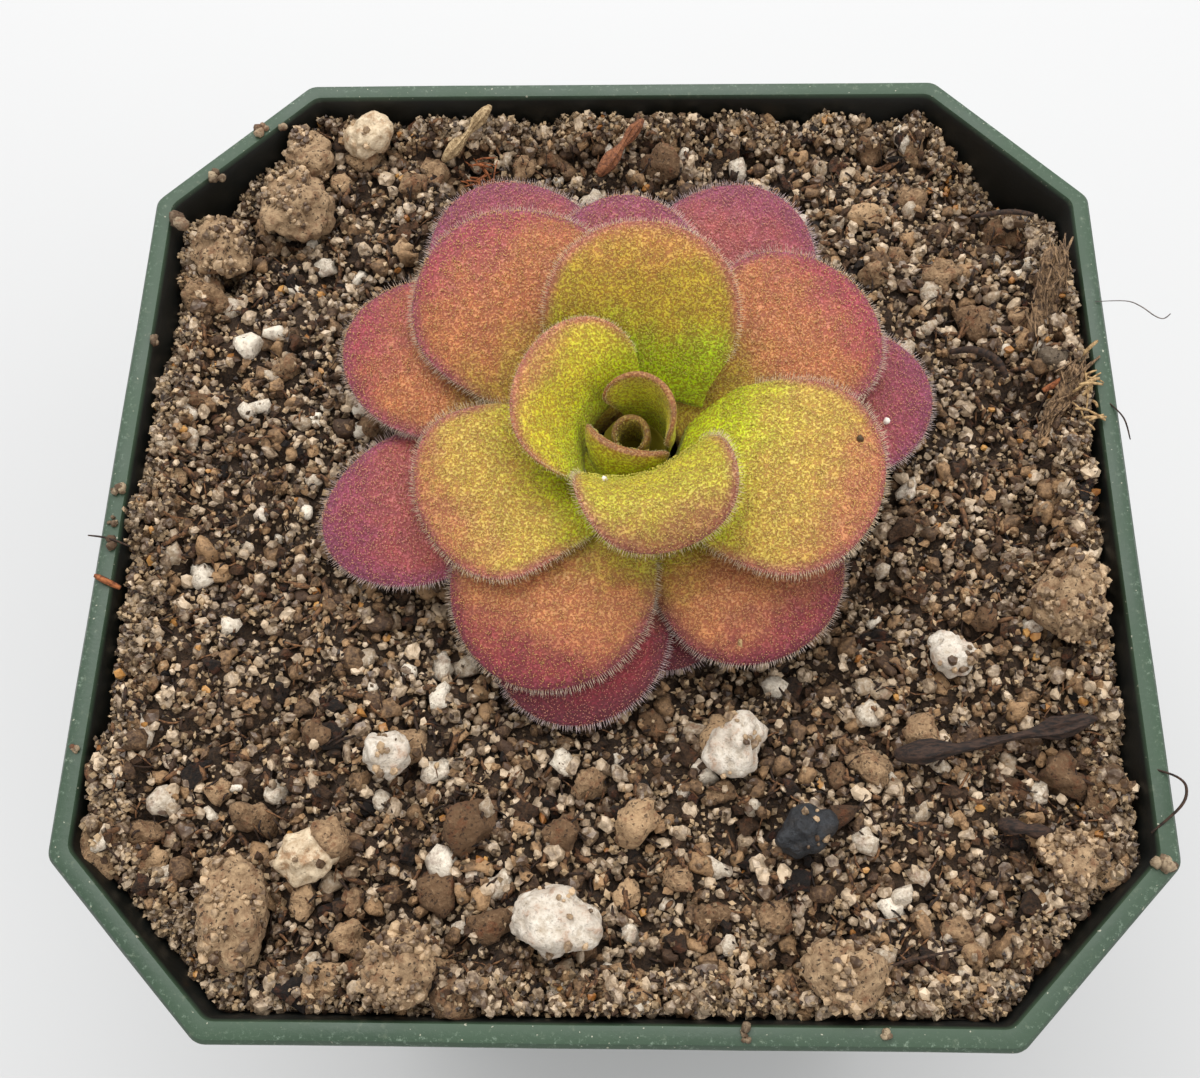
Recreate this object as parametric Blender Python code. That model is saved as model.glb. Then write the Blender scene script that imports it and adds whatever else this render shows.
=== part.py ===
"""A butterwort rosette growing in a square green nursery pot filled with gritty soil.

Blender 4.5, metres, +Z up. The origin is the middle of the pot's underside.
Sizes are worked out in millimetres and turned into metres where a mesh is made.
"""

import math
import random

import bmesh
import bpy
from mathutils import Matrix, Vector, noise

MM = 0.001

# The pot, in millimetres
POT_HEIGHT = 70.0
RIM_HALF = 38.0
RIM_CHAMFER = 11.6
RIM_BAND = 10.5
BAND_STEP = 2.0
FOOT_HALF = 27.0
FOOT_BEVEL = 0.8
FLOOR = 1.2
WALL = 1.0
RIM_WALL = 1.6
RIM_EDGE = 0.4
BAND_EDGE = 0.9
BAND_BLEND = 0.4
CORNER_ROUND = 1.6
DRAIN_RADIUS = 3.2
DRAIN_OFFSET = 17.0

# The clearance kept between two pieces that touch, and how much wider a pocket is than what lies in it
CLEAR = 0.3
POCKET_SWELL = 0.33

# The soil, measured from the rim's top, which stands a little higher along the walls and dips under the
# plant, and the plant's place in it
SOIL_LEVEL = -2.3
SOIL_GRID = 1.6
EDGE_RISE = 0.9
EDGE_WIDTH = 7.0
EDGE_FULL = 1.5
GRIT_BUMPS = 420
GRIT_REACH = 36.0
GRIT_RADIUS = (1.5, 3.0)
GRIT_RISE = (0.12, 0.3)
DISH_DEPTH = 1.7
DISH_INNER = 17.0
DISH_OUTER = 25.0
RELIEF_INNER = 24.0
RELIEF_OUTER = 31.0
CROWN_X = 1.4
CROWN_Y = 4.2
BUD_SHIFT_Y = -0.9
HOLE_RADIUS = 8.0
HOLE_TAPER = 2.0
HOLE_DEPTH = 9.5

# Each leaf, from the oldest and lowest to the youngest in the bud. Angles are in degrees, sizes in
# millimetres: heading from the crown, length, width, pitch at the base, pitch at the tip, how late the
# blade bends, curl at the base, curl at the tip, base height from the rim's top, base distance from the
# crown's axis, base width as a share, thickness, margin thickness as a share, and where the blade is
# widest. The curl is the angle that a strip as wide as the whole blade would turn through, and narrower
# parts turn through less, so a rolled leaf stays open at its ends.
LEAVES = [
    (281, 13.0, 10.0, 44, -10, 0.5, 20, -35, -4.7, 4.2, 0.22, 1.3, 0.32, 0.63),
    (66, 22.4, 14.5, 44, -10, 0.5, 20, -30, -4.4, 4.1, 0.20, 1.3, 0.32, 0.63),
    (255, 18.2, 13.0, 49, -14, 0.5, 20, -35, -3.6, 4.0, 0.20, 1.3, 0.32, 0.63),
    (120, 23.7, 14.5, 46, -11, 0.5, 20, -30, -3.9, 3.9, 0.20, 1.3, 0.32, 0.63),
    (15, 20.2, 13.5, 46, -14, 0.5, 20, -30, -3.4, 3.8, 0.20, 1.3, 0.32, 0.63),
    (197, 20.9, 12.5, 47, -16, 0.5, 20, -30, -3.0, 3.7, 0.20, 1.3, 0.32, 0.63),
    (93, 18.3, 12.5, 51, -6, 0.5, 20, -25, -2.4, 3.6, 0.20, 1.3, 0.32, 0.63),
    (310, 16.8, 14.3, 50, -15, 0.5, 20, -50, -2.2, 3.5, 0.30, 1.3, 0.32, 0.64),
    (155, 21.3, 14.0, 50, -14, 0.5, 20, -35, -1.8, 3.5, 0.20, 1.3, 0.32, 0.63),
    (35, 18.4, 14.6, 53, -10, 0.5, 20, -15, -1.4, 3.4, 0.22, 1.3, 0.32, 0.68),
    (244, 17.6, 14.8, 55, -20, 0.5, 20, -30, -1.4, 3.4, 0.24, 1.3, 0.32, 0.58),
    (131, 19.0, 16.4, 58, -7, 0.6, 20, -50, -0.7, 3.3, 0.16, 1.3, 0.32, 0.62),
    (340, 16.2, 15.5, 58, -9, 0.6, 20, -10, -0.5, 3.5, 0.18, 1.3, 0.32, 0.62),
    (208, 14.0, 13.8, 61, -14, 0.6, 20, 10, -0.4, 3.6, 0.14, 1.3, 0.32, 0.66),
    (85, 12.9, 14.6, 66, 14, 1.0, 75, 25, 1.0, 3.8, 0.26, 1.1, 0.36, 0.47),
    (287, 12.0, 11.6, 100, -50, 1.6, 140, 10, 0.9, 4.3, 0.36, 1.0, 0.4, 0.58),
    (156, 8.4, 12.8, 84, 30, 0.85, 125, 10, 1.7, 3.6, 0.40, 0.9, 0.4, 0.45),
    (249, 5.0, 7.6, 92, 106, 1.0, 136, 117, 1.0, 3.1, 0.60, 0.75, 0.8, 0.78),
    (52, 7.0, 8.6, 84, 92, 1.0, 183, 163, 0.6, 2.65, 0.45, 0.6, 0.8, 0.70),
    (70, 4.4, 5.9, 90, 100, 1.0, 300, 280, 0.6, 1.1, 0.80, 0.5, 0.8, 0.80),
]
OLD_LEAVES = 7
MIDDLE_LEAVES = 5
BUD_LEAVES = 5
LEAF_ROWS = (0.0, 0.12, 0.25, 0.4, 0.55, 0.68, 0.8, 0.9, 0.965, 1.0)
LEAF_COLUMNS = (-1.0, -0.82, -0.45, 0.0, 0.45, 0.82, 1.0)
TIP_WIDTH = 0.25
BLADE_SWELL = 2.1
LEAST_CURL = 1e-4

# How uneven the grains and the bark are, as a share of their size
STONE_UNEVEN = 0.28
BARK_UNEVEN = 0.25

# Larger bits that lie in the soil: kind, x, y, height of the middle over the soil, the three sizes, turn
STONES = [
    ("pumice", -26.6, 26.4, 0.6, (6.4, 5.6, 4.2), 20),
    ("pumice", -32.6, 22.6, 0.4, (5.2, 4.8, 3.8), 70),
    ("pumice", -26.2, 32.0, 0.4, (4.2, 3.8, 3.4), 110),
    ("quartz", -21.3, 33.4, 0.5, (4.4, 3.6, 3.2), 35),
    ("pumice", -25.3, -29.9, 0.8, (4.6, 7.6, 4.6), 8),
    ("pumice", -13.6, -33.1, 0.7, (5.2, 4.6, 4.2), 60),
    ("pumice", 15.5, -33.3, 0.6, (5.2, 4.2, 4.0), 15),
    ("pumice", 33.0, -7.5, 0.7, (5.0, 6.4, 4.2), 165),
    ("pumice", 31.4, -25.8, 0.3, (4.2, 4.2, 3.4), 40),
    ("perlite", -3.6, -30.3, 0.8, (5.8, 4.6, 4.2), 165),
    ("perlite", 8.6, -18.2, 0.6, (4.6, 3.8, 3.6), 40),
    ("perlite", -15.8, -19.0, 0.6, (3.6, 3.4, 3.2), 80),
    ("perlite", 24.4, -11.6, 0.6, (3.0, 3.2, 2.8), 10),
    ("quartz", -20.7, -26.0, 0.6, (3.4, 4.2, 2.6), 120),
    ("charcoal", 13.3, -24.0, 0.5, (4.2, 3.0, 2.4), 30),
]
STONE_COLOURS = {
    "pumice": (0.42, 0.30, 0.19),
    "perlite": (0.72, 0.68, 0.60),
    "quartz": (0.62, 0.57, 0.47),
    "charcoal": (0.03, 0.03, 0.035),
}

# Twigs and straws that lie on the soil: name, thickness at each end, and points with height over the soil
TWIGS = [
    ("twig_long", 0.9, 0.4, [(19.9, -18.8, 0.5), (24.0, -18.4, 0.7), (29.0, -17.3, 0.7), (33.7, -16.3, 0.8)]),
    ("twig_short", 0.8, 0.6, [(26.6, -23.4, 0.5), (28.2, -23.9, 0.6), (30.0, -24.1, 0.5)]),
    ("straw_pale", 0.5, 0.4, [(-14.9, 31.4, 0.5), (-12.8, 33.4, 1.1), (-10.9, 35.2, 1.8)]),
    ("straw_red", 0.7, 0.4, [(-1.7, 29.8, 0.6), (0.2, 32.4, 0.8), (1.9, 34.5, 0.9)]),
]

# Flakes of bark at the right-hand rim: name, length, width, thickness, place, and turns about X, Y and Z
BARK = [
    ("bark_strip", 7.6, 2.4, 0.9, (34.0, 17.2, -0.9), (0, -32, 84)),
    ("bark_flake", 5.6, 2.0, 0.8, (34.0, 8.4, -1.1), (8, -26, 62)),
]


def clear_scene():
    for item in list(bpy.data.objects):
        bpy.data.objects.remove(item)


def new_collection(name):
    collection = bpy.data.collections.new(name)
    bpy.context.scene.collection.children.link(collection)
    return collection


def plain_material(name, colour, roughness):
    material = bpy.data.materials.new(name)
    material.use_nodes = True
    shader = material.node_tree.nodes["Principled BSDF"]
    shader.inputs["Base Color"].default_value = (*colour, 1.0)
    shader.inputs["Roughness"].default_value = roughness
    shader.inputs["Metallic"].default_value = 0.0
    return material


def add_object(name, bm, collection, material=None):
    """Turns a bmesh in millimetres into an object in metres."""
    bmesh.ops.scale(bm, vec=(MM, MM, MM), verts=bm.verts)
    bmesh.ops.recalc_face_normals(bm, faces=bm.faces)
    mesh = bpy.data.meshes.new(name)
    bm.to_mesh(mesh)
    bm.free()
    item = bpy.data.objects.new(name, mesh)
    collection.objects.link(item)
    if material:
        mesh.materials.append(material)
    return item


def add_cutter(name, bm):
    cutter = add_object(name, bm, cutters)
    cutter.hide_render = True
    cutter.display_type = "WIRE"
    return cutter


def move_to_pockets(cutter):
    cutters.objects.unlink(cutter)
    pockets.objects.link(cutter)


def boolean(item, operation, cutter=None, collection=None):
    modifier = item.modifiers.new(operation.lower(), "BOOLEAN")
    modifier.operation = operation
    modifier.solver = "EXACT"
    if collection:
        modifier.operand_type = "COLLECTION"
        modifier.collection = collection
    else:
        modifier.object = cutter


# The pot's plan is a square with cut corners. The cut shrinks with the square so the wall keeps its
# thickness all round, and each of the eight corners is rounded a little.
def pot_outline(half, height):
    chamfer = RIM_CHAMFER - (2.0 - math.sqrt(2.0)) * (RIM_HALF - half)
    inner = half - chamfer
    quarter = [Vector((half, -inner)), Vector((half, inner))]
    corners = []
    for turn in range(4):
        spin = Matrix.Rotation(math.radians(90 * turn), 2)
        corners += [spin @ point for point in quarter]
    points = []
    for index, corner in enumerate(corners):
        before = (corners[index - 1] - corner).normalized()
        after = (corners[(index + 1) % 8] - corner).normalized()
        reach = CORNER_ROUND * math.tan(math.radians(22.5))
        start = corner + before * reach
        end = corner + after * reach
        middle = (start + end + 2.0 * corner) / 4.0
        points += [(*start, height), (*middle, height), (*end, height)]
    return points


def loft(outlines):
    """A closed solid through a stack of outlines that have the same number of points."""
    bm = bmesh.new()
    rings = [[bm.verts.new(point) for point in outline] for outline in outlines]
    count = len(rings[0])
    for low, high in zip(rings, rings[1:]):
        for index in range(count):
            after = (index + 1) % count
            bm.faces.new((low[index], low[after], high[after], high[index]))
    bm.faces.new(list(reversed(rings[0])))
    bm.faces.new(rings[-1])
    return bm


def wall_half(height):
    """The outer half width of the body below the rim band at a height over the table."""
    share = height / (POT_HEIGHT - RIM_BAND)
    return FOOT_HALF + share * (RIM_HALF - BAND_STEP - FOOT_HALF)


def inner_half(height):
    """The inner half width of the pot, which widens a little where the rim band starts."""
    shoulder = POT_HEIGHT - RIM_BAND
    if height <= shoulder:
        return wall_half(height) - WALL
    share = (height - shoulder) / RIM_BAND
    return wall_half(shoulder) - WALL + share * (RIM_HALF - RIM_WALL - wall_half(shoulder) + WALL)


def build_pot():
    shoulder = POT_HEIGHT - RIM_BAND
    profile = [
        (FOOT_HALF - FOOT_BEVEL, 0.0),
        (FOOT_HALF, FOOT_BEVEL),
        (wall_half(shoulder - BAND_BLEND), shoulder - BAND_BLEND),
        (RIM_HALF - BAND_EDGE, shoulder + BAND_BLEND),
        (RIM_HALF, POT_HEIGHT - BAND_EDGE),
        (RIM_HALF - RIM_EDGE, POT_HEIGHT),
        (RIM_HALF - RIM_WALL + RIM_EDGE, POT_HEIGHT),
        (inner_half(POT_HEIGHT - 2 * RIM_EDGE), POT_HEIGHT - 2 * RIM_EDGE),
        (inner_half(shoulder), shoulder),
        (inner_half(FLOOR), FLOOR),
    ]
    pot = add_object(
        "pot",
        loft([pot_outline(half, height) for half, height in profile]),
        parts,
        plain_material("pot_plastic", (0.10, 0.16, 0.10), 0.5),
    )
    bm = bmesh.new()
    for side_x in (-1, 1):
        for side_y in (-1, 1):
            place = Matrix.Translation((side_x * DRAIN_OFFSET, side_y * DRAIN_OFFSET, FLOOR / 2))
            bmesh.ops.create_cone(
                bm,
                cap_ends=True,
                segments=20,
                radius1=DRAIN_RADIUS,
                radius2=DRAIN_RADIUS,
                depth=3 * FLOOR,
                matrix=place,
            )
    boolean(pot, "DIFFERENCE", add_cutter("drain_holes", bm))


def smooth_step(low, high, value):
    share = min(max((value - low) / (high - low), 0.0), 1.0)
    return share * share * (3.0 - 2.0 * share)


# Mounds and hollows of the soil's surface: x, y, height, spread
SWELLS = [
    (-36.0, 2.0, 1.0, 7.0),
    (36.0, 12.0, 1.0, 7.0),
    (-8.0, -36.0, 1.1, 9.0),
    (20.0, -35.0, 0.7, 8.0),
    (32.0, 30.0, -1.9, 6.0),
    (-34.0, 29.0, -1.0, 4.0),
    (-31.0, -18.0, 0.6, 8.0),
    (10.0, 33.0, 0.4, 9.0),
]


def soil_bumps():
    """The coarse grit that shows as relief: x, y, radius and height, drawn once from a seed."""
    draw = random.Random(11)
    bumps = []
    for _ in range(GRIT_BUMPS):
        x = draw.uniform(-GRIT_REACH, GRIT_REACH)
        y = draw.uniform(-GRIT_REACH, GRIT_REACH)
        radius = draw.uniform(*GRIT_RADIUS)
        bumps.append((x, y, radius, radius * draw.uniform(*GRIT_RISE)))
    return bumps


def soil_height(x, y, bumps):
    """The soil's surface, measured from the rim's top."""
    away = math.hypot(x - CROWN_X, y - CROWN_Y)
    height = SOIL_LEVEL - DISH_DEPTH * (1.0 - smooth_step(DISH_INNER, DISH_OUTER, away))
    for swell_x, swell_y, rise, spread in SWELLS:
        height += rise * math.exp(-((x - swell_x) ** 2 + (y - swell_y) ** 2) / spread**2)
    out = max(abs(x), abs(y))
    height += EDGE_RISE * smooth_step(RIM_HALF - EDGE_WIDTH, RIM_HALF - EDGE_FULL, out)
    relief = 0.0
    for bump_x, bump_y, radius, rise in bumps:
        share = ((x - bump_x) ** 2 + (y - bump_y) ** 2) / radius**2
        if share < 1.0:
            relief = max(relief, rise * (1.0 - share))
    return height + relief * smooth_step(RELIEF_INNER, RELIEF_OUTER, away)


def build_soil(bumps):
    bm = bmesh.new()
    cells = int(2 * RIM_HALF / SOIL_GRID)
    bmesh.ops.create_grid(bm, x_segments=cells, y_segments=cells, size=RIM_HALF)
    for vert in bm.verts:
        vert.co.z = POT_HEIGHT + soil_height(vert.co.x, vert.co.y, bumps)
    bmesh.ops.triangulate(bm, faces=bm.faces)
    skirt = bmesh.ops.extrude_face_region(bm, geom=bm.faces[:])
    for element in skirt["geom"]:
        if isinstance(element, bmesh.types.BMVert):
            element.co.z = 0.0
    soil = add_object("soil", bm, parts, plain_material("soil_grit", (0.16, 0.12, 0.08), 0.9))
    heights = [FLOOR + CLEAR, POT_HEIGHT - RIM_BAND, POT_HEIGHT]
    form = [pot_outline(inner_half(height) - CLEAR, height) for height in heights]
    boolean(soil, "INTERSECT", add_cutter("soil_form", loft(form)))
    boolean(soil, "DIFFERENCE", collection=pockets)


def build_hole():
    """A plain round hole in the soil, in which the crown and the leaf bases stand."""
    bm = bmesh.new()
    place = Matrix.Translation((CROWN_X, CROWN_Y, POT_HEIGHT - HOLE_DEPTH / 2))
    bmesh.ops.create_cone(
        bm,
        cap_ends=True,
        segments=32,
        radius1=HOLE_RADIUS - HOLE_TAPER,
        radius2=HOLE_RADIUS,
        depth=HOLE_DEPTH,
        matrix=place,
    )
    move_to_pockets(add_cutter("crown_hole", bm))


def build_crown():
    """The short stem that the leaves grow from: a turned profile."""
    profile = [(1.4, -8.0), (2.6, -7.2), (3.2, -5.4), (2.9, -3.4), (2.6, -1.4), (2.4, 0.0), (1.6, 0.25)]
    sides = 14
    rings = []
    for radius, height in profile:
        ring = []
        for side in range(sides):
            angle = 2 * math.pi * side / sides
            x = CROWN_X + radius * math.cos(angle)
            y = CROWN_Y + radius * math.sin(angle)
            ring.append((x, y, POT_HEIGHT + height))
        rings.append(ring)
    add_object("crown", loft(rings), parts, plain_material("crown_stem", (0.30, 0.34, 0.12), 0.6))


def leaf_midrib(leaf, shift_y, steps=120):
    """Points and pitches along the midrib, which bends from its base pitch to its tip pitch."""
    heading = math.radians(leaf[0])
    length, base_pitch, tip_pitch, late = leaf[1], leaf[3], leaf[4], leaf[5]
    base_height, base_radius = leaf[8], leaf[9]
    outward = Vector((math.cos(heading), math.sin(heading), 0.0))
    point = Vector((CROWN_X, CROWN_Y + shift_y, base_height)) + outward * base_radius
    points = [point.copy()]
    for step in range(steps):
        share = (step + 0.5) / steps
        pitch = math.radians(base_pitch + (tip_pitch - base_pitch) * share**late)
        point = point + (outward * math.cos(pitch) + Vector((0, 0, math.sin(pitch)))) * (length / steps)
        points.append(point.copy())
    return points


def leaf_half_width(leaf, share):
    neck, widest = leaf[10], leaf[13]
    if share < widest:
        rise = math.sin(math.pi / 2 * share / widest) ** BLADE_SWELL
        return leaf[2] / 2 * (neck + (1.0 - neck) * rise)
    reach = (1.0 - widest) / math.sqrt(1.0 - TIP_WIDTH**2)
    return leaf[2] / 2 * math.sqrt(max(0.0, 1.0 - ((share - widest) / reach) ** 2))


def leaf_point(leaf, midrib, share, across):
    """A point of the blade's middle surface, and the blade's normal there."""
    heading = math.radians(leaf[0])
    outward = Vector((math.cos(heading), math.sin(heading), 0.0))
    place = share * (len(midrib) - 1)
    low = min(int(place), len(midrib) - 2)
    centre = midrib[low].lerp(midrib[low + 1], place - low)
    pitch = math.radians(leaf[3] + (leaf[4] - leaf[3]) * share ** leaf[5])
    along = outward * math.cos(pitch) + Vector((0, 0, math.sin(pitch)))
    sideways = Vector((-math.sin(heading), math.cos(heading), 0.0))
    upward = along.cross(sideways)
    width = leaf_half_width(leaf, share)
    cup = math.radians(leaf[6] + (leaf[7] - leaf[6]) * share) * width / leaf[2]
    if abs(cup) < LEAST_CURL:
        cup = LEAST_CURL
    point = centre + sideways * (width * math.sin(cup * across) / cup)
    point += upward * (width * (1.0 - math.cos(cup * across)) / cup)
    normal = upward * math.cos(cup * across) - sideways * math.sin(cup * across)
    return point, normal


def blend(value, stops):
    """Straight-line steps between (position, value) stops."""
    for (low, low_value), (high, high_value) in zip(stops, stops[1:]):
        if value <= high:
            return low_value + (high_value - low_value) * (value - low) / (high - low)
    return stops[-1][1]


def leaf_thickness(leaf, share, across):
    """Fleshy along the midrib and thin at the margin, a little thinner at the base and the tip."""
    margin = leaf[12]
    stops = [(0, 1), (0.45, 0.93 + 0.07 * margin), (0.82, 0.59 + 0.41 * margin), (1, margin)]
    over = blend(abs(across), stops)
    tip = 0.6 if margin < 0.5 else 0.9
    return leaf[11] * over * blend(share, [(0, 0.6), (0.35, 1), (0.8, 1), (1, tip)])


def build_leaf(index, leaf, material):
    shift_y = BUD_SHIFT_Y if index >= len(LEAVES) - BUD_LEAVES else 0.0
    midrib = leaf_midrib(leaf, shift_y)
    sections = []
    for share in LEAF_ROWS:
        upper = []
        lower = []
        for across in LEAF_COLUMNS:
            point, normal = leaf_point(leaf, midrib, share, across)
            point.z += POT_HEIGHT
            half = leaf_thickness(leaf, share, across) / 2
            upper.append(point + normal * half)
            lower.append(point - normal * half)
        sections.append(upper + lower[::-1])
    bm = bmesh.new()
    rings = [[bm.verts.new(point) for point in section] for section in sections]
    count = len(rings[0])
    for low, high in zip(rings, rings[1:]):
        for side in range(count):
            after = (side + 1) % count
            corners = (low[side], low[after], high[after], high[side])
            # The same diagonal on both faces keeps the thin blade from crossing itself.
            if side < count // 2:
                bm.faces.new((corners[0], corners[1], corners[2]))
                bm.faces.new((corners[0], corners[2], corners[3]))
            else:
                bm.faces.new((corners[0], corners[1], corners[3]))
                bm.faces.new((corners[1], corners[2], corners[3]))
    for ring in (rings[0], rings[-1]):
        for side in range(count // 2 - 1):
            bm.faces.new((ring[side], ring[side + 1], ring[count - 2 - side], ring[count - 1 - side]))
    leaf_object = add_object("leaf_%02d" % (index + 1), bm, parts, material)
    leaf_object.data.shade_smooth()


def build_leaves():
    old = plain_material("leaf_old", (0.30, 0.07, 0.10), 0.5)
    middle = plain_material("leaf_middle", (0.50, 0.20, 0.10), 0.5)
    young = plain_material("leaf_young", (0.42, 0.42, 0.08), 0.5)
    for index, leaf in enumerate(LEAVES):
        if index < OLD_LEAVES:
            build_leaf(index, leaf, old)
        elif index < OLD_LEAVES + MIDDLE_LEAVES:
            build_leaf(index, leaf, middle)
        else:
            build_leaf(index, leaf, young)


def rough_stone(size, seed, swell):
    """An angular grain: a ball with uneven sides, made a little larger by swell on every side."""
    bm = bmesh.new()
    bmesh.ops.create_icosphere(bm, subdivisions=2, radius=1.0)
    offset = Vector((seed * 7.3, seed * 3.1, seed * 5.7))
    for vert in bm.verts:
        direction = vert.co.normalized()
        bulge = 1.0 + STONE_UNEVEN * noise.noise(direction * 1.4 + offset)
        half = Vector((direction.x * size[0], direction.y * size[1], direction.z * size[2])) * 0.5 * bulge
        vert.co = half + direction * swell
    return bm


def build_stones(bumps):
    materials = {kind: plain_material(kind, colour, 0.85) for kind, colour in STONE_COLOURS.items()}
    counts = {}
    for seed, (kind, x, y, lift, size, turn) in enumerate(STONES):
        counts[kind] = counts.get(kind, 0) + 1
        name = "%s_%d" % (kind, counts[kind])
        height = POT_HEIGHT + soil_height(x, y, bumps) + lift
        place = Matrix.Translation((x, y, height)) @ Matrix.Rotation(math.radians(turn), 4, "Z")
        for swell in (0.0, POCKET_SWELL):
            bm = rough_stone(size, seed, swell)
            bmesh.ops.transform(bm, matrix=place, verts=bm.verts)
            if swell:
                move_to_pockets(add_cutter(name + "_pocket", bm))
            else:
                add_object(name, bm, parts, materials[kind])


def twig_tube(points, start, end, swell):
    """A tapering stick of seven sides along a few points."""
    sides = 7
    rings = []
    for index, point in enumerate(points):
        before = points[max(index - 1, 0)]
        after = points[min(index + 1, len(points) - 1)]
        along = (after - before).normalized()
        side = along.cross(Vector((0, 0, 1))).normalized()
        up = side.cross(along)
        radius = (start + (end - start) * index / (len(points) - 1)) / 2 + swell
        middle = point
        if index == 0:
            middle = point - along * swell
        elif index == len(points) - 1:
            middle = point + along * swell
        ring = []
        for step in range(sides):
            angle = 2 * math.pi * step / sides
            ring.append(middle + side * math.cos(angle) * radius + up * math.sin(angle) * radius)
        rings.append(ring)
    return loft(rings)


def build_twigs(bumps):
    material = plain_material("twig_bark", (0.09, 0.055, 0.035), 0.85)
    for name, start, end, route in TWIGS:
        points = []
        for x, y, lift in route:
            points.append(Vector((x, y, POT_HEIGHT + soil_height(x, y, bumps) + lift)))
        add_object(name, twig_tube(points, start, end, 0.0), parts, material)
        move_to_pockets(add_cutter(name + "_pocket", twig_tube(points, start, end, POCKET_SWELL)))


def bark_slab(length, width, thickness, seed, swell):
    """A flat splinter: a box cut into slices, narrowed to its ends and made uneven."""
    slices = 6
    outline = [(-1, -0.5), (-0.4, -1), (0.5, -1), (1, -0.4), (1, 0.5), (0.3, 1), (-0.6, 1), (-1, 0.4)]
    rings = []
    for index in range(slices + 1):
        share = index / slices
        narrow = 0.55 + 0.45 * math.sin(math.pi * min(max(share, 0.08), 0.92))
        bend = BARK_UNEVEN * noise.noise(Vector((share * 3.0, seed * 4.1, 0.0)))
        half_width = width / 2 * narrow * (1.0 + bend) + swell
        half_thick = thickness / 2 * (1.0 + bend) + swell
        x = (share - 0.5) * (length + 2 * swell)
        rings.append([(x, side * half_width, up * half_thick + bend) for side, up in outline])
    return loft(rings)


def build_bark():
    material = plain_material("bark", (0.17, 0.09, 0.045), 0.9)
    for seed, (name, length, width, thickness, place, turns) in enumerate(BARK):
        spin = Matrix.Identity(4)
        for degrees, axis in zip(turns, "XYZ"):
            spin = Matrix.Rotation(math.radians(degrees), 4, axis) @ spin
        matrix = Matrix.Translation((place[0], place[1], POT_HEIGHT + place[2])) @ spin
        for swell in (0.0, POCKET_SWELL):
            bm = bark_slab(length, width, thickness, seed, swell)
            bmesh.ops.transform(bm, matrix=matrix, verts=bm.verts)
            if swell:
                move_to_pockets(add_cutter(name + "_pocket", bm))
            else:
                add_object(name, bm, parts, material)


clear_scene()
parts = new_collection("butterwort")
cutters = new_collection("cutters")
pockets = bpy.data.collections.new("pockets")
cutters.children.link(pockets)
grit = soil_bumps()
build_pot()
build_hole()
build_stones(grit)
build_twigs(grit)
build_bark()
build_soil(grit)
build_crown()
build_leaves()
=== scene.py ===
"""A butterwort in a square green nursery pot of gritty soil: the looks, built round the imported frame."""

import math

import bmesh
import bpy
import numpy as np
from mathutils import Matrix, Vector, noise
from mathutils.bvhtree import BVHTree


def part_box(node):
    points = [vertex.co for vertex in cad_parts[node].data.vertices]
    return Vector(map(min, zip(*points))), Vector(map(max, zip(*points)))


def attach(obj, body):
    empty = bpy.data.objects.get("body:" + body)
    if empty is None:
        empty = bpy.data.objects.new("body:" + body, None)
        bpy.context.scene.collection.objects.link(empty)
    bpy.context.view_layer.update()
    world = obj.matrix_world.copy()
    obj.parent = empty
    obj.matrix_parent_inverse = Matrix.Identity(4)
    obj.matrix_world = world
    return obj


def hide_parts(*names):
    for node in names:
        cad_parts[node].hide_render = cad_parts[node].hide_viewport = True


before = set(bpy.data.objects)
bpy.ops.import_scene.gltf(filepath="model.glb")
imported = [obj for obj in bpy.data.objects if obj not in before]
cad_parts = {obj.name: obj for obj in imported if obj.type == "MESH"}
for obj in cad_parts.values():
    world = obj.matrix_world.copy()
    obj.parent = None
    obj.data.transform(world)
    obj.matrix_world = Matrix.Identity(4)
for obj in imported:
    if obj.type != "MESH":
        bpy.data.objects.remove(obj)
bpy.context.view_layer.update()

# The pot is one moulded shell of dull green plastic, thin in the wall, with a deeper band round the rim.
# Its corners are cut off, it narrows to the foot so that pots nest, and four holes in the floor drain it.
MM = 0.001
pot_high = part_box("pot")[1]
rim_half = pot_high.x
rim_top = pot_high.z
rim_chamfer = 11.6 * MM
band_depth = 10.5 * MM
band_step = 2.0 * MM
rim_wall = 1.6 * MM
body_wall = 1.0 * MM
foot_half = 27.0 * MM
foot_bevel = 0.8 * MM
floor_thickness = 1.2 * MM
corner_round = 1.3 * MM
drain_radius = 3.2 * MM
drain_offset = 17.0 * MM
shoulder = rim_top - band_depth


def tone(red, green, blue):
    """A colour as seen on a screen, 0 to 255, as the linear colour that a shader takes."""
    return tuple((channel / 255) ** 2.2 for channel in (red, green, blue)) + (1.0,)


def body_half(height):
    """The outer half width of the pot's body at a height over the table."""
    return foot_half + height / shoulder * (rim_half - band_step - foot_half)


def bore_half(height):
    """The inner half width of the pot at a height over the table."""
    if height <= shoulder:
        return body_half(height) - body_wall
    share = (height - shoulder) / band_depth
    low = body_half(shoulder) - body_wall
    return low + share * (rim_half - rim_wall - low)


def corner_cut(half):
    """How far the corners are cut back where the square has this half width."""
    return rim_chamfer - (2.0 - math.sqrt(2.0)) * (rim_half - half)


def in_pot(x, y, radius, height):
    """Whether a ball at a height stays clear of the bore's walls."""
    half = bore_half(height) - radius
    return abs(x) < half and abs(y) < half and abs(x) + abs(y) < 2 * half - corner_cut(half)


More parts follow.
